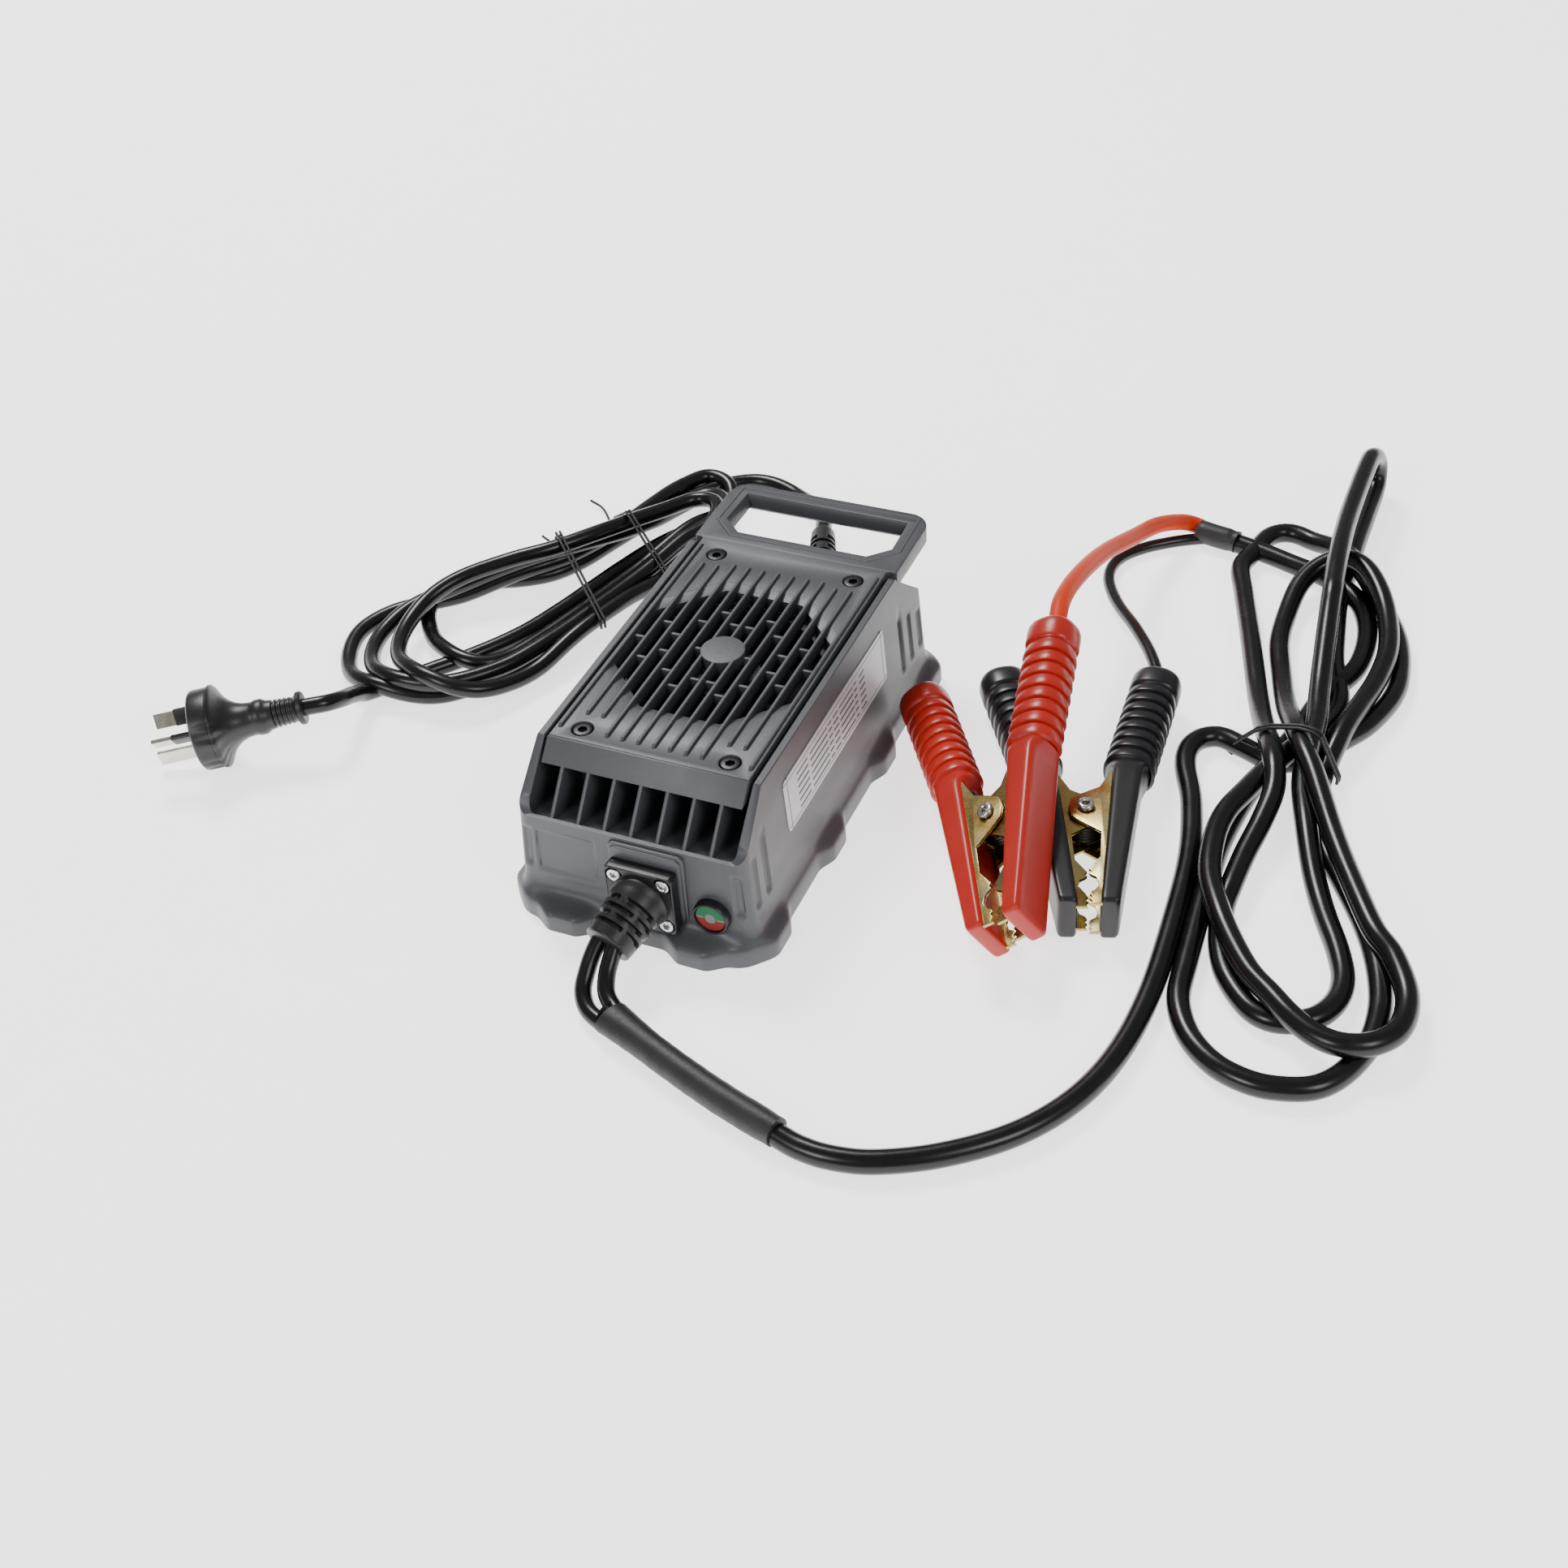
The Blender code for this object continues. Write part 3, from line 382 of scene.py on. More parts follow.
def roundRect(halfX, halfY, radius, steps=6, centre=(0.0, 0.0)):
    quarter = np.radians(np.linspace(0, 90, steps))
    rows = []
    for k, (sx, sy) in enumerate(((1, 1), (-1, 1), (-1, -1), (1, -1))):
        a = quarter + k * math.pi / 2
        rows.append(np.stack([sx * (halfX - radius) + radius * np.cos(a),
                              sy * (halfY - radius) + radius * np.sin(a)], 1))
    return np.concatenate(rows) + np.array(centre)


def basis(direction, up=(0, 0, 1)):
    d = unit(direction)
    if abs(np.dot(d, unit(up))) > 0.999:
        up = (0, 1, 0)
    across = unit(np.cross(d, up))
    return d, across, np.cross(across, d)


def turned(profile, origin, direction, sides=48, closeIn=False, up=(0, 0, 1)):
    # each (along, radius) pair becomes a circle about the axis
    d, across, rise = basis(direction, up)
    a = np.linspace(0, 2 * math.pi, sides, endpoint=False)
    ring = np.cos(a)[:, None] * across + np.sin(a)[:, None] * rise
    rows = [np.asarray(origin) + d * along + ring * max(radius, 1e-3) for along, radius in profile]
    return skin(rows, loop=closeIn, caps=not closeIn)


def catmull(points, spacing):
    # a smooth curve through the points, read at even steps
    p = np.asarray(points, float)
    p = np.vstack([2 * p[0] - p[1], p, 2 * p[-1] - p[-2]])
    t = np.linspace(0, 1, 16, endpoint=False)[:, None]
    a, b, c, d = (p[k:len(p) - 3 + k, None, :] for k in range(4))
    curve = 0.5 * (2 * b + (c - a) * t + (2 * a - 5 * b + 4 * c - d) * t ** 2 + (3 * b - a - 3 * c + d) * t ** 3)
    curve = np.vstack([curve.reshape(-1, p.shape[1]), p[-2]])
    return resample(curve, spacing)


def resample(curve, spacing):
    lengths = np.r_[0, np.cumsum(np.linalg.norm(np.diff(curve, axis=0), axis=1))]
    at = np.linspace(0, lengths[-1], max(2, int(round(lengths[-1] / spacing)) + 1))
    return np.stack([np.interp(at, lengths, curve[:, k]) for k in range(curve.shape[1])], 1)


def tube(path, radius, sides=16, up=(0, 0, 1), flat=1.0):
    # a circle carried along a path; radius may be one number or one for each point
    path = np.asarray(path, float)
    tangent = unit(np.gradient(path, axis=0))
    across = unit(np.cross(tangent, np.broadcast_to(up, path.shape)))
    rise = np.cross(across, tangent)
    a = np.linspace(0, 2 * math.pi, sides, endpoint=False)
    size = np.broadcast_to(radius, len(path))[:, None, None]
    rows = path[:, None] + size * (np.cos(a)[None, :, None] * across[:, None]
                                   + flat * np.sin(a)[None, :, None] * rise[:, None])
    return skin(rows)


# cords
def settle(route, diameter, spacing, rounds, hold=()):
    # turns at the same level push each other sideways, turns at different levels lift the upper one,
    # and all sink onto the floor; how far each point has moved is kept smooth along the cord
    start = catmull([p[:3] for p in route], spacing)
    n = len(start)
    move = np.zeros_like(start)
    near = np.abs(np.subtract.outer(np.arange(n), np.arange(n))) <= int(round(2.6 * diameter / spacing))
    weight = np.ones(n)
    weight[:6] = weight[-6:] = 0
    for low, high in hold:
        weight[int(low * n):int(high * n)] = 0
    weight = np.convolve(np.pad(weight, 6, mode="edge"), np.ones(13) / 13, mode="valid")[:, None]
    level = np.subtract.outer(start[:, 2], start[:, 2])
    stacked, order = np.abs(level) > 2.5, np.sign(level)
    blur = np.exp(-np.linspace(-2, 2, 13) ** 2)
    blur /= blur.sum()
    floor = diameter / 2 + 0.1
    for _ in range(rounds):
        move[:, 2] -= 0.3 * weight[:, 0]
        move[:, :2] *= 0.99
        now = start + move
        gap = now[:, None] - now[None]
        flat = np.einsum("ijk,ijk->ij", gap[..., :2], gap[..., :2])
        distance = np.sqrt(flat + gap[..., 2] ** 2) + 1e-6
        close = ~near & (flat < diameter ** 2)
        lift = np.sqrt(np.maximum(diameter ** 2 - flat, 0)) - order * gap[..., 2]
        lift = np.where(close & stacked & (lift > 0), lift, 0)
        rise = np.maximum((lift * (order > 0)).max(1), 0) - 0.25 * np.maximum((lift * (order < 0)).max(1), 0)
        touch = close & ~stacked & (distance < diameter)
        push = np.where(touch, (diameter - distance) / distance, 0)[..., None] * gap
        side = 0.5 * push.sum(1) / np.maximum(touch.sum(1), 1)[:, None] ** 0.5
        move[:, 2] += 0.5 * rise * np.minimum(1, weight[:, 0] + 0.1)
        move += side * np.minimum(1, weight + 0.1)
        padded = np.pad(move, ((6, 6), (0, 0)), mode="edge")
        smooth = np.stack([np.convolve(padded[:, k], blur, mode="valid") for k in range(3)], 1)
        move = smooth * np.minimum(1, weight * 4) + move * (1 - np.minimum(1, weight * 4))
        move[:, 2] = np.maximum(move[:, 2], floor - start[:, 2])
    return start + move


def curveCord(name, path, diameter, finish, slotName, nodes):
    data = bpy.data.curves.new(name, "CURVE")
    data.dimensions = "3D"
    data.bevel_depth = diameter / 2 * mm
    data.bevel_resolution = 6
    data.use_fill_caps = True
    spline = data.splines.new("POLY")
    spline.points.add(len(path) - 1)
    spline.points.foreach_set("co", np.c_[path * mm, np.ones(len(path))].ravel())
    spline.use_smooth = True
    data.materials.append(skins[finish])
    return place(bpy.data.objects.new(name, data), slotName, nodes)


def lengthOf(path):
    return float(np.linalg.norm(np.diff(path, axis=0), axis=1).sum()) * mm


outputCable = {
    "diameter": 8.8,
    "leadIn": [(72, -161.2, 6.1), (82, -164.3, 5.8), (91, -166.8, 5), (99, -168.6, 4.5), (110, -169, 4.5),
               (125, -165.6, 4.5), (145, -155, 4.5), (165, -138, 4.5), (179, -117, 4.5), (187, -92, 4.5),
               (190, -60, 4.5), (188.8, -20, 4.5), (184.6, 15, 4.5), (177, 45, 4.5), (169, 65, 4.5),
               (167, 76, 4.5),
               (169.6, 84.2, 4.5), (177, 88.2, 4.5), (187, 84.6, 4.5), (200, 80, 4.5)],
    "outerLoop": [(212, 86, 4.5), (225, 105, 4.5), (231, 117, 4.5), (235.7, 135, 4.5), (235.7, 151, 4.5),
                  (231, 173, 4.5), (221, 194, 6), (207, 212, 12), (193.6, 229, 8), (180, 238.4, 5),
                  (168.6, 241.8, 5),
                  (160.5, 236, 5), (157.2, 222, 7), (155, 209.6, 8), (161.2, 190.2, 9), (169.8, 164.6, 11),
                  (178.2, 138.7, 14), (192.3, 95.2, 19)],
    "innerBend": [(201.6, 68.4, 22), (205.8, 53.2, 22), (205.3, 36.8, 22), (203.4, 19.6, 21),
                  (202.6, 2.6, 19),
                  (202.5, -10, 16), (206, -28, 14), (212, -42, 13), (222, -54, 13), (230, -58, 13),
                  (238, -57, 13),
                  (246, -52, 13), (251, -42, 13), (251, -30, 13), (246, -16, 13), (238, 0, 13), (229, 20, 13),
                  (221, 42, 13), (215, 62, 13), (213, 80, 13)],
    "narrowLoop": [(212.1, 99.3, 13.5), (209.4, 116, 17), (206.3, 136.9, 22), (202.4, 165.2, 26.5),
                   (198.4, 198.8, 28.5),
                   (196.1, 231.7, 27.5), (195.4, 275, 26.5), (196.2, 286.5, 24), (197.2, 293, 18.2),
                   (198.2, 293.3, 11), (199, 286, 6),
                   (199.7, 264.2, 4.5), (200.9, 236.9, 4.5), (204.6, 198.5, 4.5), (209.3, 162.7, 4.5),
                   (214.5, 128, 4.5)],
    "outerBend": [(212, 106, 6), (206, 86, 9), (199, 66, 12), (194.5, 50, 14), (191, 36, 16), (190.6, 20, 18),
                  (194, 0, 20), (202, -18, 22), (210, -31, 22), (220, -44, 22), (229, -52, 22),
                  (238, -60, 22),
                  (248, -66, 22), (258, -67.6, 22), (268, -63, 22), (274.6, -52, 22), (274, -36, 22),
                  (266, -20, 22),
                  (256.5, -9.2, 22), (243.7, 13.6, 22), (231.8, 36.2, 22), (218.8, 61.9, 22),
                  (210.2, 77.8, 22),
                  (199.9, 104, 21)],
    "innerLoop": [(190.4, 135.8, 19), (184, 159.2, 18), (182.3, 180.5, 18), (183.4, 198.6, 18),
                  (189, 210, 18),
                  (198, 214.5, 18), (209.5, 207.7, 18), (221, 189, 18), (227.7, 164, 18), (227.7, 142, 16),
                  (224, 120, 12), (220, 100, 8)],
    "lowBend": [(218, 78, 4.5), (220, 54, 4.5), (228, 38, 4.5), (240, 20, 4.5), (252, 0, 4.5),
                (260, -18, 4.5),
                (265, -36, 4.5), (266, -52, 4.5), (264, -64, 4.5), (259, -76, 4.5), (252, -84, 4.5),
                (242, -88, 4.5),
                (232, -89, 4.5), (220, -86, 4.5), (210, -79, 4.5), (203, -70, 4.5), (198, -58, 4.5),
                (196, -42, 4.5),
                (194, -20, 4.5), (193, 0, 4.5), (193, 25, 4.5), (196, 50, 4.5), (200, 69, 4.5),
                (205, 85, 4.5)],
    "lastLoop": [(210, 105, 4.5), (214, 128, 4.5), (218.6, 151, 4.5), (217.5, 173.6, 4.5), (211.5, 192, 4.5),
                 (202, 205, 4.5), (191, 212.5, 4.5), (178, 217, 4.5), (164, 222, 4.9), (152, 225.6, 5.4),
                 (140, 228, 5.7)],
}

mainsCord = {
    "diameter": 7.4,
    "leadIn": [(-18.4, 141, 24.5), (-21.1, 148.2, 24.2), (-25.5, 159.5, 22.6), (-36, 180, 14), (-50, 197, 7),
               (-66, 206.5, 4.4), (-80, 208.5, 5)],
    "lapOne": [(-92, 203, 7), (-102, 193, 9), (-111, 179, 9), (-118, 160, 9), (-125, 139, 9), (-131, 121, 10),
               (-139, 107, 10), (-150, 98, 10), (-163.6, 91, 10), (-175, 84, 10), (-181, 74, 10),
               (-179, 61, 10),
               (-170, 48, 10), (-159, 38, 11), (-146, 32, 11), (-135, 34, 11), (-127.5, 44, 11),
               (-120.5, 62, 11),
               (-113.6, 84.5, 10), (-106.8, 109.5, 10), (-99, 136, 10), (-91.5, 158, 9), (-86, 174, 8)],
    "lapTwo": [(-85.5, 188, 8), (-92, 199, 8.5), (-103, 200, 9.5), (-110, 187, 11), (-115, 166, 13),
               (-121, 145, 14), (-129, 124, 15),
               (-137, 110, 15), (-150, 97, 14), (-168, 82, 12), (-184, 68, 11), (-195, 56, 11),
               (-200.5, 41, 11),
               (-197.7, 25.5, 11), (-188.6, 11, 11), (-175, 3, 12), (-157, 3.5, 13), (-140, 12, 13),
               (-125, 30, 13),
               (-113, 55, 15), (-104, 85, 16), (-96, 115, 16), (-90, 143, 15)],
    "lapThree": [(-84, 159, 14), (-82.5, 172, 14), (-88.5, 183, 14), (-98.5, 184, 14.5), (-106, 171, 16),
                 (-111, 154, 18), (-118, 135, 20),
                 (-130, 116, 21), (-146, 99, 21), (-164, 83, 19), (-179, 67, 18), (-188, 53, 18),
                 (-189.8, 37, 18),
                 (-184, 21, 18), (-172.7, 9, 18), (-157, 5, 19), (-139, 11, 20), (-122, 30, 20),
                 (-111, 55, 22),
                 (-102, 85, 23), (-94, 113, 22), (-87, 138, 19)],
    "lapFour": [(-81, 150, 17), (-80, 161, 17), (-86.5, 171, 17), (-97, 170.5, 18), (-106, 156, 21),
                (-119, 126, 26), (-134, 104, 27),
                (-150, 90, 27), (-167, 76, 26), (-176, 62, 26), (-178.4, 47, 26), (-175, 31, 26),
                (-166, 17, 26),
                (-152, 8, 26), (-137, 6, 26), (-125, 11, 26), (-116, 23, 26), (-109.5, 37, 26),
                (-104.5, 53, 27),
                (-98, 75, 27), (-91, 100, 25), (-84, 122, 20)],
    "tail": [(-77.5, 137, 12), (-76.5, 149, 8), (-83, 159, 6), (-94, 158, 5), (-103, 144, 4.4),
             (-111, 122, 4), (-117, 102, 3.8),
             (-123, 82, 3.8), (-131, 61, 3.8), (-143, 41, 3.8), (-157, 23, 3.8), (-168, 9, 4.6),
             (-172.0, -3.8, 8.5),
             (-170.8, -15, 15.0), (-169.2, -24, 20.0), (-170.9, -31.6, 23.0), (-176.4, -36.2, 23.4),
             (-184, -40.8, 22.5)],
}


def routeOf(settings):
    return [point for key, points in settings.items() if key != "diameter" for point in points]


def bundleHoop(path, start, end, radius, width=6.0):
    # the line that a tie takes over the strands, from the floor on one side to the floor on the other
    start, end = np.array(start, float), np.array(end, float)
    reach = np.linalg.norm(end - start)
    along = (end - start) / reach
    flat = path[:, :2] - start
    inside = (np.abs(flat @ np.array([-along[1],
                                      along[0]])) < width) & (flat @ along > 0) & (flat @ along < reach)
    strands = np.stack([flat[inside] @ along, path[inside, 2]], 1)
    turn = np.linspace(-0.25, math.pi + 0.25, 29)
    direction = np.stack([-np.cos(turn), np.sin(turn)], 1)
    touch = strands[(strands @ direction.T).argmax(0)] + direction * (radius + 0.85)
    touch[:, 1] = np.maximum(touch[:, 1], 0.9)
    return np.c_[start + touch[:, :1] * along, touch[:, 1]]


def makeOutputTie(path, gauge, wire=0.7):
    # two turns of wire over the strands and a loose end on the floor
    hoop = bundleHoop(path, (187, 83), (229, 76), gauge / 2)
    second = hoop + np.array([0.4, 1.9, 0.1])
    x, y = hoop[0][:2]
    tail = [(x, y + 0.5, 1.0), (x - 5, y + 4, 1.3), (x - 12, y + 9, 1.0), (x - 17, y + 10, 1.2)]
    level, up = (0.2, 1, 0), (0, 0, 1)
    parts = [tube(catmull(line, 1.0), wire, 10, toward) for line,
             toward in ((hoop, level), (second, level), (tail, up))]
    return piece("outputTie", parts, "shrink", "black_cord", ("output_tie",))


def dip(t, middle, spread):
    return np.exp(-((t - middle) / spread) ** 2)


def makeSpliceSleeve():
    # a shrunk sleeve: a tube whose girth dips once near each end
    path = catmull([(149, 226.2, 5.6), (146.8, 226.6, 5.7), (139, 228, 5.7), (132.4, 229.6, 5.7),
                    (131, 230, 5.7)], 0.8)
    t = np.linspace(0, 1, len(path))
    girth = 5.2 - 0.5 * dip(t, 0.1, 0.08) - 0.25 * dip(t, 0.95, 0.05)
    return piece("spliceSleeve", [tube(path, girth, 24)], "shrink", "shrink_sleeve", ("splice_sleeve",))


def makeOutputCable():
    gauge = outputCable["diameter"]
    path = settle(routeOf(outputCable), gauge, gauge / 2, 260, hold=[(0, 0.03), (0.411, 0.479)])
    path = catmull(path, 2.2)
    cable = curveCord("outputCable", path, gauge, "cordBlack", "black_cord", ("output_cable", "output_hank"))
    tie = makeOutputTie(path, gauge)
    splice = makeSpliceSleeve()
    print("output cable", round(lengthOf(path), 3))


def makeLeadSleeve(sides=32, flatHalf=5.6):
    # a tube that is wide at its mouth, wrinkled along its length and pressed to one height all over
    path = catmull([(13.2, -138.1, 6.4), (15.0, -138.9, 6.3), (40, -149.5, 6.2), (65, -158.8, 6.1),
                    (90, -166.5, 6.1)], 1.2)
    t = np.linspace(0, 1, len(path))
    girth = 5.75 + 1.35 * dip(t, 0, 0.16) - 0.5 * dip(t, 1, 0.06)
    girth = girth + 0.09 * np.sin(t * 61) * np.sin(t * 23 + 1)
    points, faces = tube(path, girth, sides)
    grid = points.reshape(len(path), sides, 3)
    grid[..., 2] = path[:, None, 2] + (grid[..., 2] - path[:, None, 2]) * (flatHalf / girth)[:, None]
    return piece("leadSleeve", [(grid.reshape(-1, 3), faces)], "shrink", "shrink_sleeve", ("lead_sleeve",))


conductors = {
    "conductorPositive": {
        "node": "output_lead_positive",
        "route": [(5.9, -110.5, 20.2), (5.0, -115.4, 18.3), (5.0, -119.4, 15.4), (5.4, -124, 12.4),
                  (7.4, -129.5, 9.4),
                  (11, -133.2, 8.0), (17, -137.2, 7.4), (28, -142.6, 6.8), (42, -149.4, 6.4),
                  (52, -153.8, 6.3)],
    },
    "conductorNegative": {
        "node": "output_lead_negative",
        "route": [(-0.6, -108.8, 20.2), (-1.9, -113.6, 18.2), (-2.8, -118.4, 15.0), (-3.0, -123.4, 11.4),
                  (-1.8, -130.5, 7.2), (3.2, -136.6, 4.9), (12.2, -140.6, 4.3), (24, -145.2, 4.8),
                  (38, -149.8, 5.4),
                  (52, -154.4, 6.0)],
    },
}


def makeConductors(gauge=6.6):
    sleeve = makeLeadSleeve()
    for name, conductor in conductors.items():
        line = catmull(conductor["route"], 1.4)
        made = curveCord(name, line, gauge, "cordBlack", "black_cord", (conductor["node"],))


leads = {
    "redGauge": 7.5, "blackGauge": 5.4, "exit": (0.1325, 0.2296, 0.0057),
    "red": [(137.5, 231.0, 5.6), (132.6, 232.3, 5.6), (127.4, 232.6, 6.8), (122.0, 227, 10.5),
            (115.5, 211, 17.5),
            (111, 190, 24), (107, 153, 38), (106.6, 117, 50), (107.6, 92, 55.6), (109.6, 79, 54.2),
            (112.6, 66, 49.5)],
    "black": [(138, 227.2, 4.6), (133, 227.2, 3.6), (127, 225.2, 3.0), (119.5, 220.8, 2.8),
              (110.5, 213.5, 2.8),
              (103, 204, 2.8), (100.3, 193, 2.9), (103, 180, 3.6), (112, 163, 5.6), (125.5, 143, 9.5),
              (137, 124.5, 11.8), (144.6, 109.0, 12.0), (146.8, 99, 12.0)],
}


def makeLeads():
    red = catmull(leads["red"], 2.0)
    made = curveCord("leadRed", red, leads["redGauge"], "leadRed", "red_lead", ("lead_red",))
    # the black lead runs between the charger and the moving half that it goes into
    black = catmull(leads["black"], 2.0)
    made = piece("leadBlack", [tube(black, leads["blackGauge"] / 2, 16)], "cordBlack", "black_cord",
                 ("lead_black",),
                 None)
    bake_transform(made)
    print("leads", round(lengthOf(red), 3), round(lengthOf(black), 3))


makeOutputCable()
makeConductors()
makeLeads()
print("output cords laid")


# mains plug
plug = {
    "face": (-216.3, -60.1, 18.1),
    "turn": 31.0,
    "dip": 6.5,
    "roll": 175.0,
    "profile": [(0.0, 0.5), (0.0, 14.9), (0.25, 16.1), (0.9, 16.8), (2, 17.0), (7.2, 17.0), (7.9, 16.9),
                (8.3, 17.5),
                (9.0, 17.6), (9.6, 17.2), (10.4, 15.7), (11.6, 13.4), (13.0, 11.5), (15.0, 9.6), (17.5, 8.2),
                (20.0, 7.4), (23, 7.0), (24.6, 7.1), (25.4, 7.5), (28.2, 7.5), (29.0, 7.0), (30.2, 6.3),
                (32, 6.1)],
}


def plugAxes():
    turn, dip = math.radians(plug["turn"]), math.radians(plug["dip"])
    aim = np.array([-math.cos(turn) * math.cos(dip), -math.sin(turn) * math.cos(dip), -math.sin(dip)])
    across = unit(np.cross(aim, (0, 0, 1)))
    return np.array(plug["face"]), aim, across, np.cross(across, aim)


def makePlug():
    # a profile turned about the plug's axis, with three soft lobes at its waist and fine ribs where it is gripped
    face, aim, across, rise = plugAxes()
    a = np.linspace(0, 2 * math.pi, 96, endpoint=False)
    profile = list(plug["profile"])
    for k in range(5):  # collars of the cord grip
        start = 32.4 + 1.95 * k
        profile += [(start, 6.05 - 0.12 * k), (start + 0.35, 5.2), (start + 0.95, 5.2),
                    (start + 1.3, 5.95 - 0.12 * k)]
    profile += [(42.4, 6.0), (43.0, 7.0), (44.5, 7.1), (45.1, 6.6), (45.2, 3.9), (45.0, 0.5)]
    rows = []
    for along, radius in profile:
        waist = math.exp(-((along - 14) / 4.5) ** 2)
        lobes = 1 + 0.055 * waist * np.cos(3 * (a - math.radians(30)))
        grip = 1 - 0.035 * (np.cos(18 * a) > 0.2) * (13.0 > along > 2.5) * (abs(np.cos(a)) > 0.6)
        size = radius * lobes * grip
        rows.append(face - aim * along + size[:, None] * (np.cos(a)[:, None] * across + np.sin(a)[:,
                                                                                                  None] * rise))
    body = piece("plugBody", [skin(rows)], "plugRubber", "black_moulding", ("plug_body",))
    roll, sleeves = math.radians(plug["roll"]), []
    for name, offset, distance, slant in (("activePinSleeve", 120, 7.92, -30),
                                          ("neutralPinSleeve", -120, 7.92, 30)):
        b = roll + math.radians(offset)
        outward = rise * math.cos(b) + across * math.sin(b)
        wide = rise * math.cos(roll + math.radians(slant)) + across * math.sin(roll + math.radians(slant))
        thin = np.cross(wide, aim)
        grid = []
        for along, grow in ((-0.4, 0.42), (8.2, 0.42), (8.7, 0.3), (8.75, -0.2)):
            flat = roundRect(3.15 + grow, 0.8 + grow, 0.55, 4)
            grid.append(face + outward * distance + aim * along + flat[:, :1] * wide + flat[:, 1:] * thin)
        sleeves.append(piece(name, [skin(grid)], "plugRubber", "black_moulding"))
    return [body, *sleeves]


def makeMainsTie(number, path, start, end, wire=0.6):
    # two turns of wire over the strands and a loose end that rises off the floor
    start, end = np.array(start, float), np.array(end, float)
    along = unit(end - start)
    side = np.array([-along[1], along[0]])
    hoop = bundleHoop(path, start, end, mainsCord["diameter"] / 2, 5.0)
    second = hoop + np.array([*(side * 1.8), 0.1])
    loose = [(*hoop[0][:2], 1.0), (*(start - along * 8 + side * 5), 1.0),
             (*(start - along * 17 + side * 2), 3.0)]
    level, up = (*side, 0), (along[1] * 0.3, -along[0] * 0.3, 1)
    parts = [tube(catmull(line, 1.0), wire, 10, toward) for line,
             toward in ((hoop, level), (second, level), (loose, up))]
    return piece(f"mainsTie{number}", parts, "shrink", "black_cord", (f"mains_tie_{number}",))


def makeMains():
    gauge = mainsCord["diameter"]
    path = settle(routeOf(mainsCord), gauge, gauge / 2, 240, hold=[(0, 0.035), (0.968, 1)])
    path = catmull(path, 2.0)
    cable = curveCord("mainsCord", path, gauge, "cordBlack", "black_cord",
                      ("mains_cord", "mains_hank", "mains_tail"))
    ties = [makeMainsTie(1, path, (-149, 121), (-88, 62)), makeMainsTie(2, path, (-140, 157), (-84, 112))]
    print("mains cord", round(lengthOf(path), 3))
    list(makePlug())


makeMains()
print("mains cord laid")

# case
case = {
    "wallX": 47.0, "draft": 0.06, "front": -88.5, "back": 94.0, "endDraft": 0.03, "wallTop": 45.3,
    "skirtX": 51.5, "skirtFront": -95.5, "skirtBack": 104.0, "plateIn": 42.3,
    "topLine": ([-88.6, -67.3, 67, 77, 93, 94.2], [45.3, 67.6, 67.6, 59, 46, 45.3]),
    "sideLobes": (-77, -22, 33, 88), "lobeOut": 3.5, "frontLobes": (-27, 27), "frontLobeOut": 5.0,
    "fluteStep": 9.2, "fluteDepth": 1.15, "fluteWide": 2.0,
    "finPitch": 10.8, "finTop": 60.3,
}


def wallX(z):
    return case["wallX"] + (40 - z) * case["draft"]


def outlineAt(halfX, front, back, radius, share):
    # a round-cornered rectangle read at fixed shares of each straight side and each corner, from mid front
    straightX, straightY, arc = halfX - radius, back - front - 2 * radius, share["arc"]
    pieces = []
    t = share["end"][:, None]
    pieces.append(np.hstack([t * straightX, np.full_like(t, front)]))
    pieces.append(np.stack([straightX + radius * np.sin(arc), front + radius - radius * np.cos(arc)], 1))
    s = share["side"][:, None]
    pieces.append(np.hstack([np.full_like(s, halfX), front + radius + s * straightY]))
    pieces.append(np.stack([straightX + radius * np.cos(arc), back - radius + radius * np.sin(arc)], 1))
    pieces.append(np.hstack([(1 - t) * straightX, np.full_like(t, back)]))
    half = np.concatenate(pieces)
    other = half[::-1] * np.array([-1, 1])
    return np.concatenate([half, other])


def softStep(x):
    t = np.clip(x, 0, 1)
    return t * t * (3 - 2 * t)


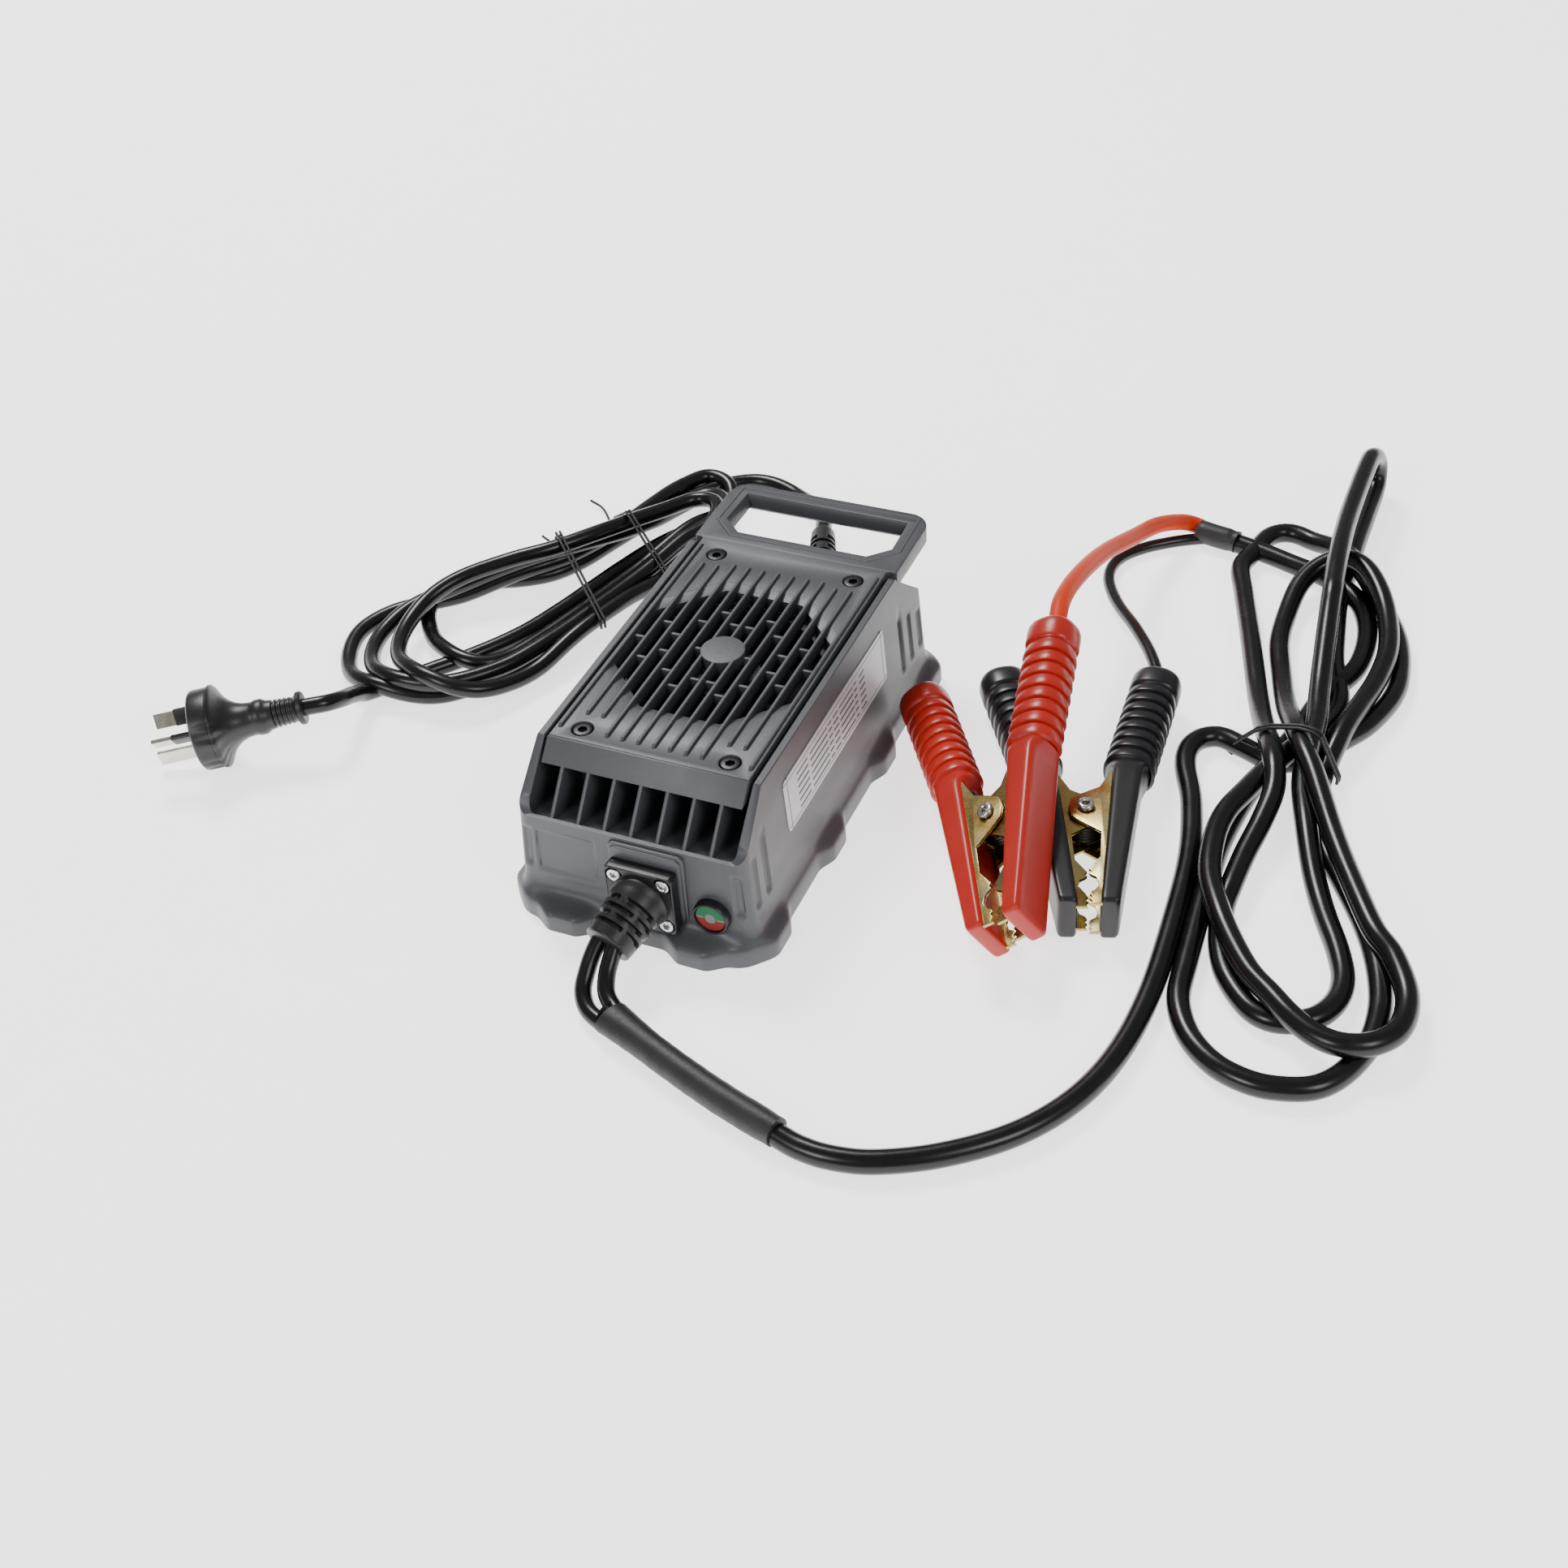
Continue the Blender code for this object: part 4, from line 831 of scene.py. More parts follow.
def makeCase():
    # rings of one outline at rising heights, drawn in from the skirt to the wall, with lobes, flutes and a panel
    # pushed into them; then the rim, the inner walls and back down to the floor
    share = {"end": np.linspace(0, 1, 60, endpoint=False), "arc": np.linspace(0, math.pi / 2, 14,
                                                                              endpoint=False),
             "side": np.linspace(0, 1, 190, endpoint=False)}
    levels = [(0.0, 0.02, 0.5), (0.5, 0.0, 0.0), (2.5, 0.0, 0.0), (4.5, 0.01, 0.0), (6.2, 0.03, 0.0),
              (7.4, 0.08, 0.0),
              (8.3, 0.15, 0.0), (9.0, 0.26, 0.0), (9.6, 0.40, 0.0), (10.3, 0.55, 0.0), (11.3, 0.70, 0.0),
              (12.6, 0.83, 0.0),
              (14.2, 0.94, 0.0), (16, 1.0, 0.0)]
    levels += [(z, 1.0, 0.0) for z in np.arange(17.5, 45.2, 1.15)]
    rows = []
    flatSize = (case["wallX"], case["front"], case["back"], 5.0)
    base = outlineAt(*flatSize, share)
    lengths = np.r_[0, np.cumsum(np.linalg.norm(np.diff(base, axis=0), axis=1))]
    frontCorner = case["wallX"] - 5 + 5 * math.pi / 2          # where the right side's straight run starts
    sideRun = case["back"] - case["front"] - 10
    backCorner = frontCorner + sideRun
    total = lengths[-1] + np.linalg.norm(base[0] - base[-1])
    flutes = []
    firstY = -72.3 - (case["front"] + 5)
    for k, (low, high) in enumerate(((20.4, 49.0), (20.4, 44.7), (20.7, 40.4))):
        flutes.append((frontCorner + firstY - k * case["fluteStep"], low, high))
        flutes.append((backCorner + (67 - (case["back"] - 5)) + k * case["fluteStep"] * 1.05, low, high))
    outward = unit(np.stack([np.roll(base, -1, 0)[:, 1] - np.roll(base, 1, 0)[:, 1],
                             np.roll(base, 1, 0)[:, 0] - np.roll(base, -1, 0)[:, 0]], 1))

    def grooves(z, ring):
        depth = np.zeros(len(base))
        for at, low, high in flutes:
            ends = softStep((z - low) / 2.2) * softStep((high - z) / 2.2)
            for s in (at, total - at):
                span = np.abs(lengths - s)
                depth = np.maximum(depth, ends * softStep((case["fluteWide"] + 0.5 - span) / 1.3))
        return ring - outward * (case["fluteDepth"] * depth)[:, None]

    for z, blendTo, tuck in levels:
        drop = (case["wallTop"] - z) * case["endDraft"]
        half = case["skirtX"] + (wallX(z) - case["skirtX"]) * blendTo - tuck
        front = case["skirtFront"] + (case["front"] - drop - case["skirtFront"]) * blendTo + tuck
        back = case["skirtBack"] + (case["back"] + drop - case["skirtBack"]) * blendTo - tuck
        ring = outlineAt(half, front, back, 12 - 7 * blendTo, share)
        if z < 12.5:
            height = softStep((12.5 - z) / 5.5)
            for y in case["sideLobes"]:
                reach = softStep((14.5 - np.abs(ring[:, 1] - y)) / 10.0) * (np.abs(ring[:, 0]) > half - 4)
                ring[:, 0] += np.sign(ring[:, 0]) * reach * case["lobeOut"] * height
            for x in case["frontLobes"]:
                reach = softStep((14.5 - np.abs(ring[:, 0] - x)) / 10.0) * (ring[:, 1] < front + 4)
                ring[:, 1] -= reach * case["frontLobeOut"] * height
        if z > 16:
            ring = grooves(z, ring)
            panel = softStep((12.6 - np.abs(ring[:, 0] + 27)) / 0.9) * (ring[:, 1] < front + 1)
            ring[:, 1] += 0.75 * panel * softStep((z - 19.6) / 1.2) * softStep((40.4 - z) / 1.2)
        rows.append(np.c_[ring, np.full(len(ring), z)])
    topY, topZ = case["topLine"]
    for part in (0.0, 0.12, 0.3, 0.5, 0.7, 0.86, 0.95, 0.985):
        top = np.interp(base[:, 1], topY, topZ)
        z = case["wallTop"] + part * (top - case["wallTop"])
        ring = outlineAt(*flatSize, share)
        ring[:, 0] *= wallX(z) / case["wallX"]
        rows.append(np.c_[grooves(z, ring), z])
    top = np.interp(base[:, 1], topY, topZ)
    edge = rows[-1].copy()
    edge[:, :2] -= outward * 0.35
    edge[:, 2] = top
    rows.append(edge)
    inner = outlineAt(case["plateIn"], case["front"] + 2.2, case["back"] - 2.2, 2.6, share)
    brim = np.c_[inner + outward * 0.35, top]
    rows.append(brim)
    rows.append(np.c_[inner, top - 0.35])
    rows.append(np.c_[inner, np.minimum(top - 0.5, 34.0)])
    rows.append(np.c_[inner, np.full(len(inner), 4.0)])
    floorIn = outlineAt(46.4, -88.1, 93.6, 5.0, share)
    rows.append(np.c_[floorIn, np.full(len(inner), 2.8)])
    rows.append(np.c_[floorIn, np.full(len(inner), 0.05)])
    parts = [skin(rows, loop=True)]

    deck = [(-88.2, 45.15), (-43.5, 35), (43.5, 35), (94.6, 45.2), (94.6, 43), (43.5, 32), (-43.5, 32),
            (-88.2, 42.6)]
    parts.append(bar(deck, 0, -42.6, 42.6, 0.05))
    finTop = case["finTop"]
    fin = [(-87.6, 44.4), (-74, finTop), (-43.5, finTop), (-43.5, 39.6), (43.5, 39.6), (43.5, finTop),
           (74, finTop), (90, 44.4), (90, 33.5), (-87.6, 33.5)]
    for k in range(-3, 4):
        parts.append(bar(fin, 0, k * case["finPitch"] - 0.8, k * case["finPitch"] + 0.8, 0.3))
    for x in (-30.05, 30.05):
        for y in (-60.15, 60.15):
            parts.append(turned([(33.5, 4.3), (40, 4.1), (60.1, 3.9), (60.3, 3.7)], (x, y, 0), (0, 0, 1), 24))
    # the two steps of the raised pad behind the gland
    for halfX, halfZ, face, edge in ((15.4, 16.0, -90.1, 0.5), (14.35, 15.0, -91.0, 0.45)):
        flat = roundRect(halfX, halfZ, 2.2, 7, (7.15, 28.0))
        parts.append(bar(flat, 1, face, -86.0, edge))
    return piece("caseShell", parts, "casePlastic", "case_plastic", ("case_shell",), crease=32)


makeCase()
print("case made")

# cover
cover = {
    "top": 68.2, "low": 60.6, "ribTop": 69.4, "ribPitch": 6.45, "ribWide": 1.35, "hub": 8.73,
    "handleX": 44.6, "handleBack": 113.5, "handleRadius": 9.5, "screws": (30.05, 60.15),
}


def plate(outlines, low, high, edge):
    # flat outlines with holes, filled, given thickness and a round edge, then made a mesh
    data = bpy.data.curves.new("plate", "CURVE")
    data.dimensions, data.fill_mode = "2D", "BOTH"
    data.extrude = (high - low) / 2 - edge
    data.bevel_depth, data.bevel_resolution, data.offset = edge, 2, -edge
    for outline in outlines:
        spline = data.splines.new("POLY")
        spline.points.add(len(outline) - 1)
        spline.points.foreach_set("co", np.c_[np.asarray(outline, float), np.zeros(len(outline)),
                                              np.ones(len(outline))].ravel())
        spline.use_cyclic_u = True
    holder = bpy.data.objects.new("plate", data)
    bpy.context.scene.collection.objects.link(holder)
    bpy.context.view_layer.update()
    mesh = bpy.data.meshes.new_from_object(holder)
    points = np.zeros(len(mesh.vertices) * 3)
    mesh.vertices.foreach_get("co", points)
    points = points.reshape(-1, 3) + np.array([0, 0, (low + high) / 2])
    faces = [list(p.vertices) for p in mesh.polygons]
    bpy.data.objects.remove(holder)
    bpy.data.curves.remove(data)
    bpy.data.meshes.remove(mesh)
    return points, faces


def octagon(half, clip):
    near, shoulder = half * math.tan(math.pi / 8), half * math.sqrt(2) - clip
    quarter = [(near, -half), (clip, -shoulder), (clip, shoulder), (near, half)]
    return np.array(quarter + [(-x, y) for x, y in reversed(quarter)])


def coverOutline(half, front, shoulder):
    r = cover["handleRadius"]
    a = np.linspace(0, math.pi / 2, 12)
    arc = np.stack([cover["handleX"] - r + r * np.cos(a), cover["handleBack"] - r + r * np.sin(a)], 1)
    right = np.concatenate([[(half, front), (half, shoulder - 0.8), (half + 0.8, shoulder)],
                            [(cover["handleX"] - 0.8, shoulder), (cover["handleX"], shoulder + 0.8)], arc])
    return np.concatenate([right, right[::-1] * (-1, 1)])


def circleAt(x, y, r, sides=32):
    a = np.linspace(0, 2 * math.pi, sides, endpoint=False)
    return np.stack([x + r * np.cos(a), y + r * np.sin(a)], 1)


def makeCover():
    # a filled outline with holes, sloped ends, the ribs and bars of the grille, and the lips of the openings
    top, low = cover["top"], cover["low"]
    sx, sy = cover["screws"]
    wells = [circleAt(x, y, 4.2) for x in (-sx, sx) for y in (-sy, sy)]
    grip = np.array([(-28.6, 78.2), (28.6, 78.2), (36.8, 86.2), (36.3, 106.4), (-36.3, 106.4), (-36.8, 86.2)])
    opening = octagon(44.0, 38.1)
    parts = [plate([coverOutline(40.7, -67.3, 70.5), grip, opening, *wells], low, top, 0.45)]
    wedge = [(-74.8, 60.65), (-68.0, 67.95), (-64.5, 67.95), (-64.5, 60.65)]
    parts.append(bar(wedge, 0, -40.9, 40.9, 0.5))
    shell = [(77.2, 60.65), (70.2, 66.5), (66, 66.5), (66, 60.65)]
    parts.append(bar(shell, 0, -40.95, 40.95, 0.3))
    for x in (-sx, sx):  # the wells' floors
        for y in (-sy, sy):
            parts.append(turned([(61, 5.0), (65.0, 5.0), (65.2, 4.8)], (x, y, 0), (0, 0, 1), 32))
    slope = [np.c_[octagon(44.6, 38.7), np.full(8, top - 0.12)],
             np.c_[octagon(43.9, 38.05), np.full(8, top - 0.1)],
             np.c_[octagon(39.7, 38.0), np.full(8, top - 1.4)],
             np.c_[octagon(39.6, 37.9), np.full(8, low + 0.2)],
             np.c_[octagon(44.6, 38.7), np.full(8, low + 0.1)]]
    parts.append(skin(slope, loop=True))
    middle = grip.mean(0)
    lip = [np.c_[insetOutline(grip, -1.2), np.full(6, top - 0.15)], np.c_[grip, np.full(6, top - 0.35)],
           np.c_[insetOutline(grip, 1.1), np.full(6, top - 2.2)],
           np.c_[insetOutline(grip, 1.1), np.full(6, low + 1.4)],
           np.c_[insetOutline(grip, 0.2), np.full(6, low + 0.1)],
           np.c_[insetOutline(grip, -1.2), np.full(6, low + 0.2)]]
    parts.append(skin(lip, loop=True))
    ridge = [np.c_[insetOutline(grip, -4.6), np.full(6, top - 0.3)],
             np.c_[insetOutline(grip, -4.1), np.full(6, top + 0.35)],
             np.c_[insetOutline(grip, -3.2), np.full(6, top + 0.35)],
             np.c_[insetOutline(grip, -2.7), np.full(6, top - 0.3)]]
    parts.append(skin(ridge, loop=True))
    pitch, wide = cover["ribPitch"], cover["ribWide"]
    for k in range(-6, 7):
        front = -53 if abs(k) in (4, 5) else -63
        back = {4: 53.6, 5: 53.6, 6: 66.0}.get(abs(k), 56.0)
        rib = [(front, top - 0.4), (front + 2.2, cover["ribTop"]), (back - 2.2, cover["ribTop"]),
               (back, top - 0.4),
               (42, top - 0.9), (41, 63), (-41, 63), (-42, top - 0.9)]
        parts.append(bar(rib, 0, k * pitch - wide / 2, k * pitch + wide / 2, 0.3))
    for x, y in [(35.5, 0), (29, 12), (9.7, 24.8), (23.2, 5.6), (16.7, 16.6), (3.2, 18.4), (10, 0)]:
        for a, b in sorted({(a, b) for a in (-1, 1) for b in ((-1, 1) if y else (1,))}):
            flat = roundRect(0.75, 2.2, 0.35, 4, (b * y, 65.6))
            parts.append(bar(flat, 0, a * x - pitch / 2, a * x + pitch / 2, 0.05))
    hub = [(63.4, 8.5), (63.6, cover["hub"]), (69.2, cover["hub"]), (69.43, 8.5), (69.5, 7.9), (69.5, 0.5)]
    parts.append(turned(hub, (0, 0, 0), (0, 0, 1), 64))
    return piece("topCover", parts, "coverPlastic", "cover_plastic", ("top_cover",), crease=32)


def socketScrew(name, place, direction, head, depth, key, finish, slotName, node, high=2.6):
    # a round cap with a six-sided recess; the recess is a circle whose radius follows a hexagon
    d, across, rise = basis(direction, (0, 1, 0.01) if abs(direction[2]) > 0.5 else (0, 0, 1))
    a = np.linspace(0, 2 * math.pi, 72, endpoint=False)
    hexagon = key / np.cos((a % (math.pi / 3)) - math.pi / 6)
    ring = np.stack([np.cos(a), np.sin(a)], 1)
    steps = [(-high, head), (-0.5, head), (-0.15, head - 0.18), (0, head - 0.5)]
    rows = [np.asarray(place) + d * along + (ring * radius) @ np.stack([across, rise]) for along,
            radius in steps]
    for along, inset in ((0, 0.25), (-0.2, 0.0), (-depth, 0.0), (-depth - 0.4, -0.9)):
        size = hexagon + inset
        rows.append(np.asarray(place) + d * along + (ring * size[:, None]) @ np.stack([across, rise]))
    return piece(name, [skin(rows)], finish, slotName, (node,))


makeCover()
sx, sy = cover["screws"]
for number, (x, y) in enumerate([(x, y) for x in (-sx, sx) for y in (-sy, sy)], start=1):
    socketScrew(f"coverScrew{number}", (x, y, 68.0), (0, 0, 1), 3.8, 1.5, 1.55, "screwBlack", "black_screw",
                f"cover_screw_{number}")
print("cover made")

# gland, strain reliefs, indicator and label
gland = {"x": 6.57, "z": 24.4, "half": 13.7, "face": -96.4, "screw": 9.74, "lean": (-0.243, -0.910, -0.336)}


def makeGland():
    gx, gz, half = gland["x"], gland["z"], gland["half"]
    wells = [circleAt(sx * gland["screw"], sz * gland["screw"], 3.25) for sx in (-1, 1) for sz in (-1, 1)]
    points, faces = plate([roundRect(half, half, 1.6, 7), *wells], 0, 3.4, 0.5)
    # the plate is stood up: its own height becomes -Y
    front = np.stack([points[:, 0] + gx, gland["face"] + 3.4 - points[:, 2], points[:, 1] + gz], 1)
    backing = bar(roundRect(half - 0.15, half - 0.15, 1.5, 7, (gx, gz)), 1, gland["face"] + 2.6, -90.9, 0.3)
    seat = turned([(-96.9, 11.0), (-96.9, 11.9), (-96.2, 12.1), (-95, 12.1)], (gx, 0, gz), (0, 1, 0), 48)
    piece("glandBlock", [(front, faces), backing, seat], "glandPlastic", "black_plastic", ("gland_block",))
    number = 0
    for sx in (-1, 1):
        for sz in (-1, 1):
            number += 1
            spot = (gx + sx * gland["screw"], gland["face"] - 0.35, gz + sz * gland["screw"])
            socketScrew(f"glandScrew{number}", spot, (0, -1, 0), 2.85, 1.3, 1.3, "bright", "bright_screw",
                        f"gland_screw_{number}", 1.9)


def reliefRows(stations, sides=72):
    # circles along a bent axis; stations are (centre, direction, radius)
    rows, flat = [], np.linspace(0, 2 * math.pi, sides, endpoint=False)
    for centre, direction, radius in stations:
        d, across, rise = basis(direction)
        size = np.broadcast_to(radius, sides)[:, None]
        rows.append(centre + size * (np.cos(flat)[:, None] * across + np.sin(flat)[:, None] * rise))
    return rows


def slots(flat, along, bands, count, depth, wide, gap):
    # staggered rows of slots sunk into a relief: bands of along, each cut into count slots
    cut = np.zeros_like(flat)
    for k, (low, high) in enumerate(bands):
        if low < along < high:
            turn = (flat * count / (2 * math.pi) + 0.5 * (k % 2)) % 1.0
            cut = depth * softStep((0.5 - gap - np.abs(turn - 0.5)) / 0.035)
    return cut


def makeReliefs():
    lean, face = unit(gland["lean"]), np.array([gland["x"], gland["face"] - 0.3, gland["z"]])
    straight = np.array([0.0, -1.0, 0.0])
    flat = np.linspace(0, 2 * math.pi, 96, endpoint=False)
    bands = [(4.6, 6.2), (7.8, 9.4), (11.0, 12.6), (14.2, 15.8)]
    stations = [(face + straight * -3, straight, 8.0), (face, straight, 11.2),
                (face + straight * 0.2, straight, 11.5),
                (face + straight * 1.4, straight, 11.5), (face + straight * 1.7, straight, 11.2)]
    lengthsAt = sorted({*np.arange(2.4, 20.3, 0.4).round(2),
                        *[b + e for band in bands for b in band for e in (-0.12, 0.12)]})
    for along in lengthsAt:
        turn = softStep(along / 6.0)
        direction = unit(straight * (1 - turn) + lean * turn)
        centre = face + lean * along * (0.35 + 0.65 * turn) + straight * along * 0.65 * (1 - turn)
        radius = 11.1 - 1.7 * along / 20.5 - slots(flat, along, bands, 4, 2.2, 0.5, 0.07)
        stations.append((centre, direction, radius))
    stations += [(face + lean * 20.5, lean, 9.1), (face + lean * 20.7, lean, 8.6)]
    piece("outputRelief", [skin(reliefRows(stations, 96))], "glandPlastic", "black_plastic",
          ("output_strain_relief",))

    aim, root, back = unit((-0.37, 0.93, -0.05)), np.array([0, 95.2, 27.0]), np.array([0, 1.0, 0])
    stations = [(root - back * 6, back, 6.6), (root, back, 6.6), (root, back, 8.9),
                (root + back * 0.3, back, 9.2),
                (root + back * 2.7, back, 9.2), (root + back * 3.0, back, 8.9)]
    bands = [(6 + 4.4 * k, 8.6 + 4.4 * k) for k in range(10)]
    for along in np.arange(4.2, 55.6, 0.45):
        turn = softStep((along - 2) / 10)
        direction = unit(back * (1 - turn) + aim * turn)
        centre = root + aim * along * turn + back * along * (1 - turn)
        radius = 8.6 - 3.3 * along / 56 - slots(flat, along, bands, 2, 1.5, 0.5, 0.12)
        stations.append((centre, direction, radius))
    stations += [(root + aim * 55.8, aim, 5.2), (root + aim * 56, aim, 4.8)]
    piece("mainsRelief", [skin(reliefRows(stations, 96))], "glandPlastic", "black_plastic",
          ("mains_strain_relief",))


def makeIndicator():
    # a turned rim and a shallow domed lens
    rim = [(-84, 6.2), (-92.3, 6.2), (-92.6, 6.35), (-92.7, 6.6), (-92.6, 6.95), (-92.2, 7.2), (-91.4, 7.35),
           (-84, 7.35)]
    piece("statusRing", [turned(rim, (32.4, 0, 19.5), (0, 1, 0), 64, True)], "glandPlastic", "black_plastic",
          ("status_bezel",))
    lens = [(-84, 6.1), (-91.5, 6.1), (-91.8, 5.8), (-91.95, 4.6), (-92.05, 2.5), (-92.1, 1.0)]
    piece("statusLens", [turned(lens, (32.4, 0, 19.5), (0, 1, 0), 64)], "lens", "indicator", ("status_lens",))


def makeLabel():
    # a rounded rectangle laid on the leaning wall
    flat = roundRect(50.6, 12.0, 2.4, 8, (-1.05, 43.85))
    rows = []
    for out, inset in ((-0.15, 0.0), (0.22, 0.0), (0.34, 0.12)):
        shape = insetOutline(flat, inset)
        rows.append(np.stack([wallX(shape[:, 1]) + out, shape[:, 0], shape[:, 1]], 1))
    piece("ratingLabel", [skin(rows)], "label", "label", ("rating_label",))


makeGland()
makeReliefs()
makeIndicator()
makeLabel()
print("fittings made")

# clamps
clamps = {
    "black": {"pivot": (142.6, 12.6, 11.9), "yaw": 18.4, "pitch": 0.0, "roll": 0.0, "fixedSide": -1,
              "finish": "blackGrip",
              "slot": "black_grip"},
    "red": {"pivot": (117.0, -14.8, 26.3), "yaw": 21.5, "pitch": 5.5, "roll": 34.6, "fixedSide": 1,
            "finish": "redGrip",
            "slot": "red_grip"},
}
half = {
    "gripEnd": (-88.0, 32.1), "gripStart": (-28.0, 17.5), "teeth": 8,
    "coverEnd": 53.8, "coverOuter": 11.3, "coverInner": 3.9, "coverHalf": 10.2, "rivet": 11.5, "sheet": 1.4,
    "web": [(-58, 28.3), (-28, 21.2), (51.0, 9.3), (53.3, 8.7), (53.5, 0.35)],
    "mouth": [(52.2, 1.3), (50.9, 0.3), (49.6, 1.3), (48.3, 0.3), (47, 0.9), (45.6, 3.0), (42.5, 3.9),
              (39.4, 3.0),
              (38, 0.9), (37.2, 0.3), (36, 1.2), (34.8, 0.3), (28, 4.6), (14, 5.6), (8, -2.5), (5, -5.5),
              (0, -6.6),
              (-5, -5.5), (-8, -1.5), (-12, 5.5), (-28, 13.4), (-58, 21.2)],
}


def clampAxes(pose):
    yaw, pitch, roll = (math.radians(pose[k]) for k in ("yaw", "pitch", "roll"))
    u = np.array([math.sin(yaw) * math.cos(pitch), -math.cos(yaw) * math.cos(pitch), -math.sin(pitch)])
    level = np.array([math.cos(yaw), math.sin(yaw), 0])
    rise = np.cross(u, level)
    w = level * math.cos(roll) + rise * math.sin(roll)
    h = rise * math.cos(roll) - level * math.sin(roll)
    return np.stack([u, w, h])


def seat(part, pose, side=1):
    # from the clamp's own axes (to the tips, to the fixed half, along the rivet) to the frame's
    points, faces = part
    return (points * (1, side, 1)) @ clampAxes(pose) + np.array(pose["pivot"]), faces


def sheathPart(sides=64, gripPower=2.35, rootSize=9.4):
    # a toothed oval grip that widens into a box-shaped jaw cover: each ring is a rounded square, where the
    # powers of its two coordinates add up to 1, and a higher power makes it squarer
    a = np.linspace(0, 2 * math.pi, sides, endpoint=False)
    c, s = np.cos(a), np.sin(a)

    def shape(power):
        return 1 / (np.abs(c) ** power + np.abs(s) ** power) ** (1 / power)

    start, end = np.array(half["gripEnd"]), np.array(half["gripStart"])
    length = np.linalg.norm(end - start)
    pitch = (length - 13) / half["teeth"]
    stations = [(0, 7.4), (0.15, 8.4), (0.7, 9.2), (1.6, 9.9), (3, 10.4), (5, 10.5), (10.2, 10.5), (11, 10.3)]
    for k in range(half["teeth"]):
        base = 12 + k * pitch
        stations += [(base, 9.45), (base + 0.12, 9.2), (base + 0.5, 9.2), (base + 0.75, 9.65),
                     (base + 0.45 * pitch, 10.15), (base + 0.9 * pitch, 10.5), (base + 0.97 * pitch, 10.35)]
    stations += [(length - 0.5, 9.2)]
    along = (end - start) / length
    across = np.array([-along[1], along[0]])
    rows = []
    for at, radius in stations:
        ring = radius * 0.985 * shape(gripPower)
        rows.append(np.c_[start + along * at + np.outer(ring * c, across), ring * s * 0.97])

    rootU, rootInner, rootOuter = -28.5, 11.3, 23.8
    tip = half["coverEnd"]
    # each ring of the cover: how far along, how far it has widened, how much it is drawn in, its power
    cover = [(-28.2, 0.0, 0.5, 2.6), (-27.0, 0.15, 0.35, 3.0), (-25.2, 0.5, 0.15, 4.0),
             (-23.0, 0.9, 0.0, 6.0),
             (-20, 1, 0, 7)]
    cover += [(u, 1, 0, 7) for u in np.linspace(-16, tip - 2.4, 18)]
    cover += [(tip - 1.4, 1, 0.12, 7), (tip - 0.6, 1, 0.45, 7), (tip - 0.12, 1, 1.0, 6.5), (tip, 1, 1.7, 6)]
    for u, widened, tuck, power in cover:
        t = (u - rootU) / (tip - rootU)
        inner = rootInner + (half["coverInner"] - rootInner) * t
        outer = rootOuter + (half["coverOuter"] - rootOuter) * t
        reach = (outer - inner) / 2 * widened + rootSize * (1 - widened)
        tall = half["coverHalf"] * widened + rootSize * (1 - widened)
        ring = shape(power)
        rows.append(np.c_[np.full(sides, u), (inner + outer) / 2 + (reach - tuck) * ring * c,
                          (tall - tuck) * ring * s])
    return skin(rows)


def steelParts(ear):
    # two side sheets of one outline and the strip that joins their outer edges
    outline = np.array(half["web"] + half["mouth"], float)
    parts = []
    sheet = half["sheet"]
    for side in (-1, 1):
        low, high = sorted((side * ear, side * (ear - sheet)))
        parts.append(bar(outline, 2, low, high, 0.25))
    web = np.array(half["web"][:4], float)
    web[:, 1] -= 0.02
    inner = web.copy()
    inner[:, 1] -= sheet
    parts.append(bar(np.concatenate([web, inner[::-1]]), 2, -ear + 0.1, ear - 0.1, 0.05))
    return parts


def springPart():
    # a coil of wire about the rivet with a leg into each half
    t = np.linspace(0, 5 * 2 * math.pi, 5 * 32)
    coil = np.stack([-7.3 * np.cos(t), 7.3 * np.sin(t), -3.9 + 7.8 * t / t[-1]], 1)
    start = np.array([(-29, 11.5, -3.9), (-22, 9.4, -3.9), (-15, 7.2, -3.9), (-10.2, 4.2, -3.9)])
    finish = np.array([(-10.2, -4.2, 3.9), (-14, -6.1, 3.9), (-18, -7.6, 3.9)])
    path = catmull(np.vstack([start, coil[3:-3], finish]), 0.6)
    return tube(path, 0.8, 10, (0.02, 0.01, 1))


def rivetPart():
    # a tube with two heads: a closed profile turned about its axis
    reach, head, shank = half["rivet"] - 1.2, 3.3, 2.2
    profile = [(reach - 1.2, 1.25), (reach - 0.3, 1.35), (reach, 1.7), (reach, head - 0.8),
               (reach - 0.3, head - 0.25),
               (reach - 0.8, head), (reach - 1.6, head), (8.2, shank)]
    profile = profile + [(-at, r) for at, r in reversed(profile)]
    return turned(profile, (0, 0, 0), (0, 0, 1), 32, True, up=(1, 0, 0))


def makeClamp(name):
    pose = clamps[name]
    fixed = pose["fixedSide"]
    for part, side, ear, body in (("Fixed", fixed, 6.3, "charger"),
                                  ("Moving", -fixed, 8.0, f"{name}_clamp_jaw")):
        node = f"{name}_clamp_{part.lower()}"
        piece(f"{name}Clamp{part}Sheath", [seat(sheathPart(), pose, side)], pose["finish"], pose["slot"],
              (f"{node}_sheath",), body, crease=38)
        piece(f"{name}Clamp{part}Steel", [seat(p, pose, side) for p in steelParts(ear)], "zinc",
              "plated_steel",
              (f"{node}_steel",), body)
    piece(f"{name}ClampSpring", [seat(springPart(), pose, fixed)], "spring", "spring_steel",
          (f"{name}_clamp_spring",))
    piece(f"{name}ClampRivet", [seat(rivetPart(), pose)], "bright", "rivet_metal", (f"{name}_clamp_rivet",))


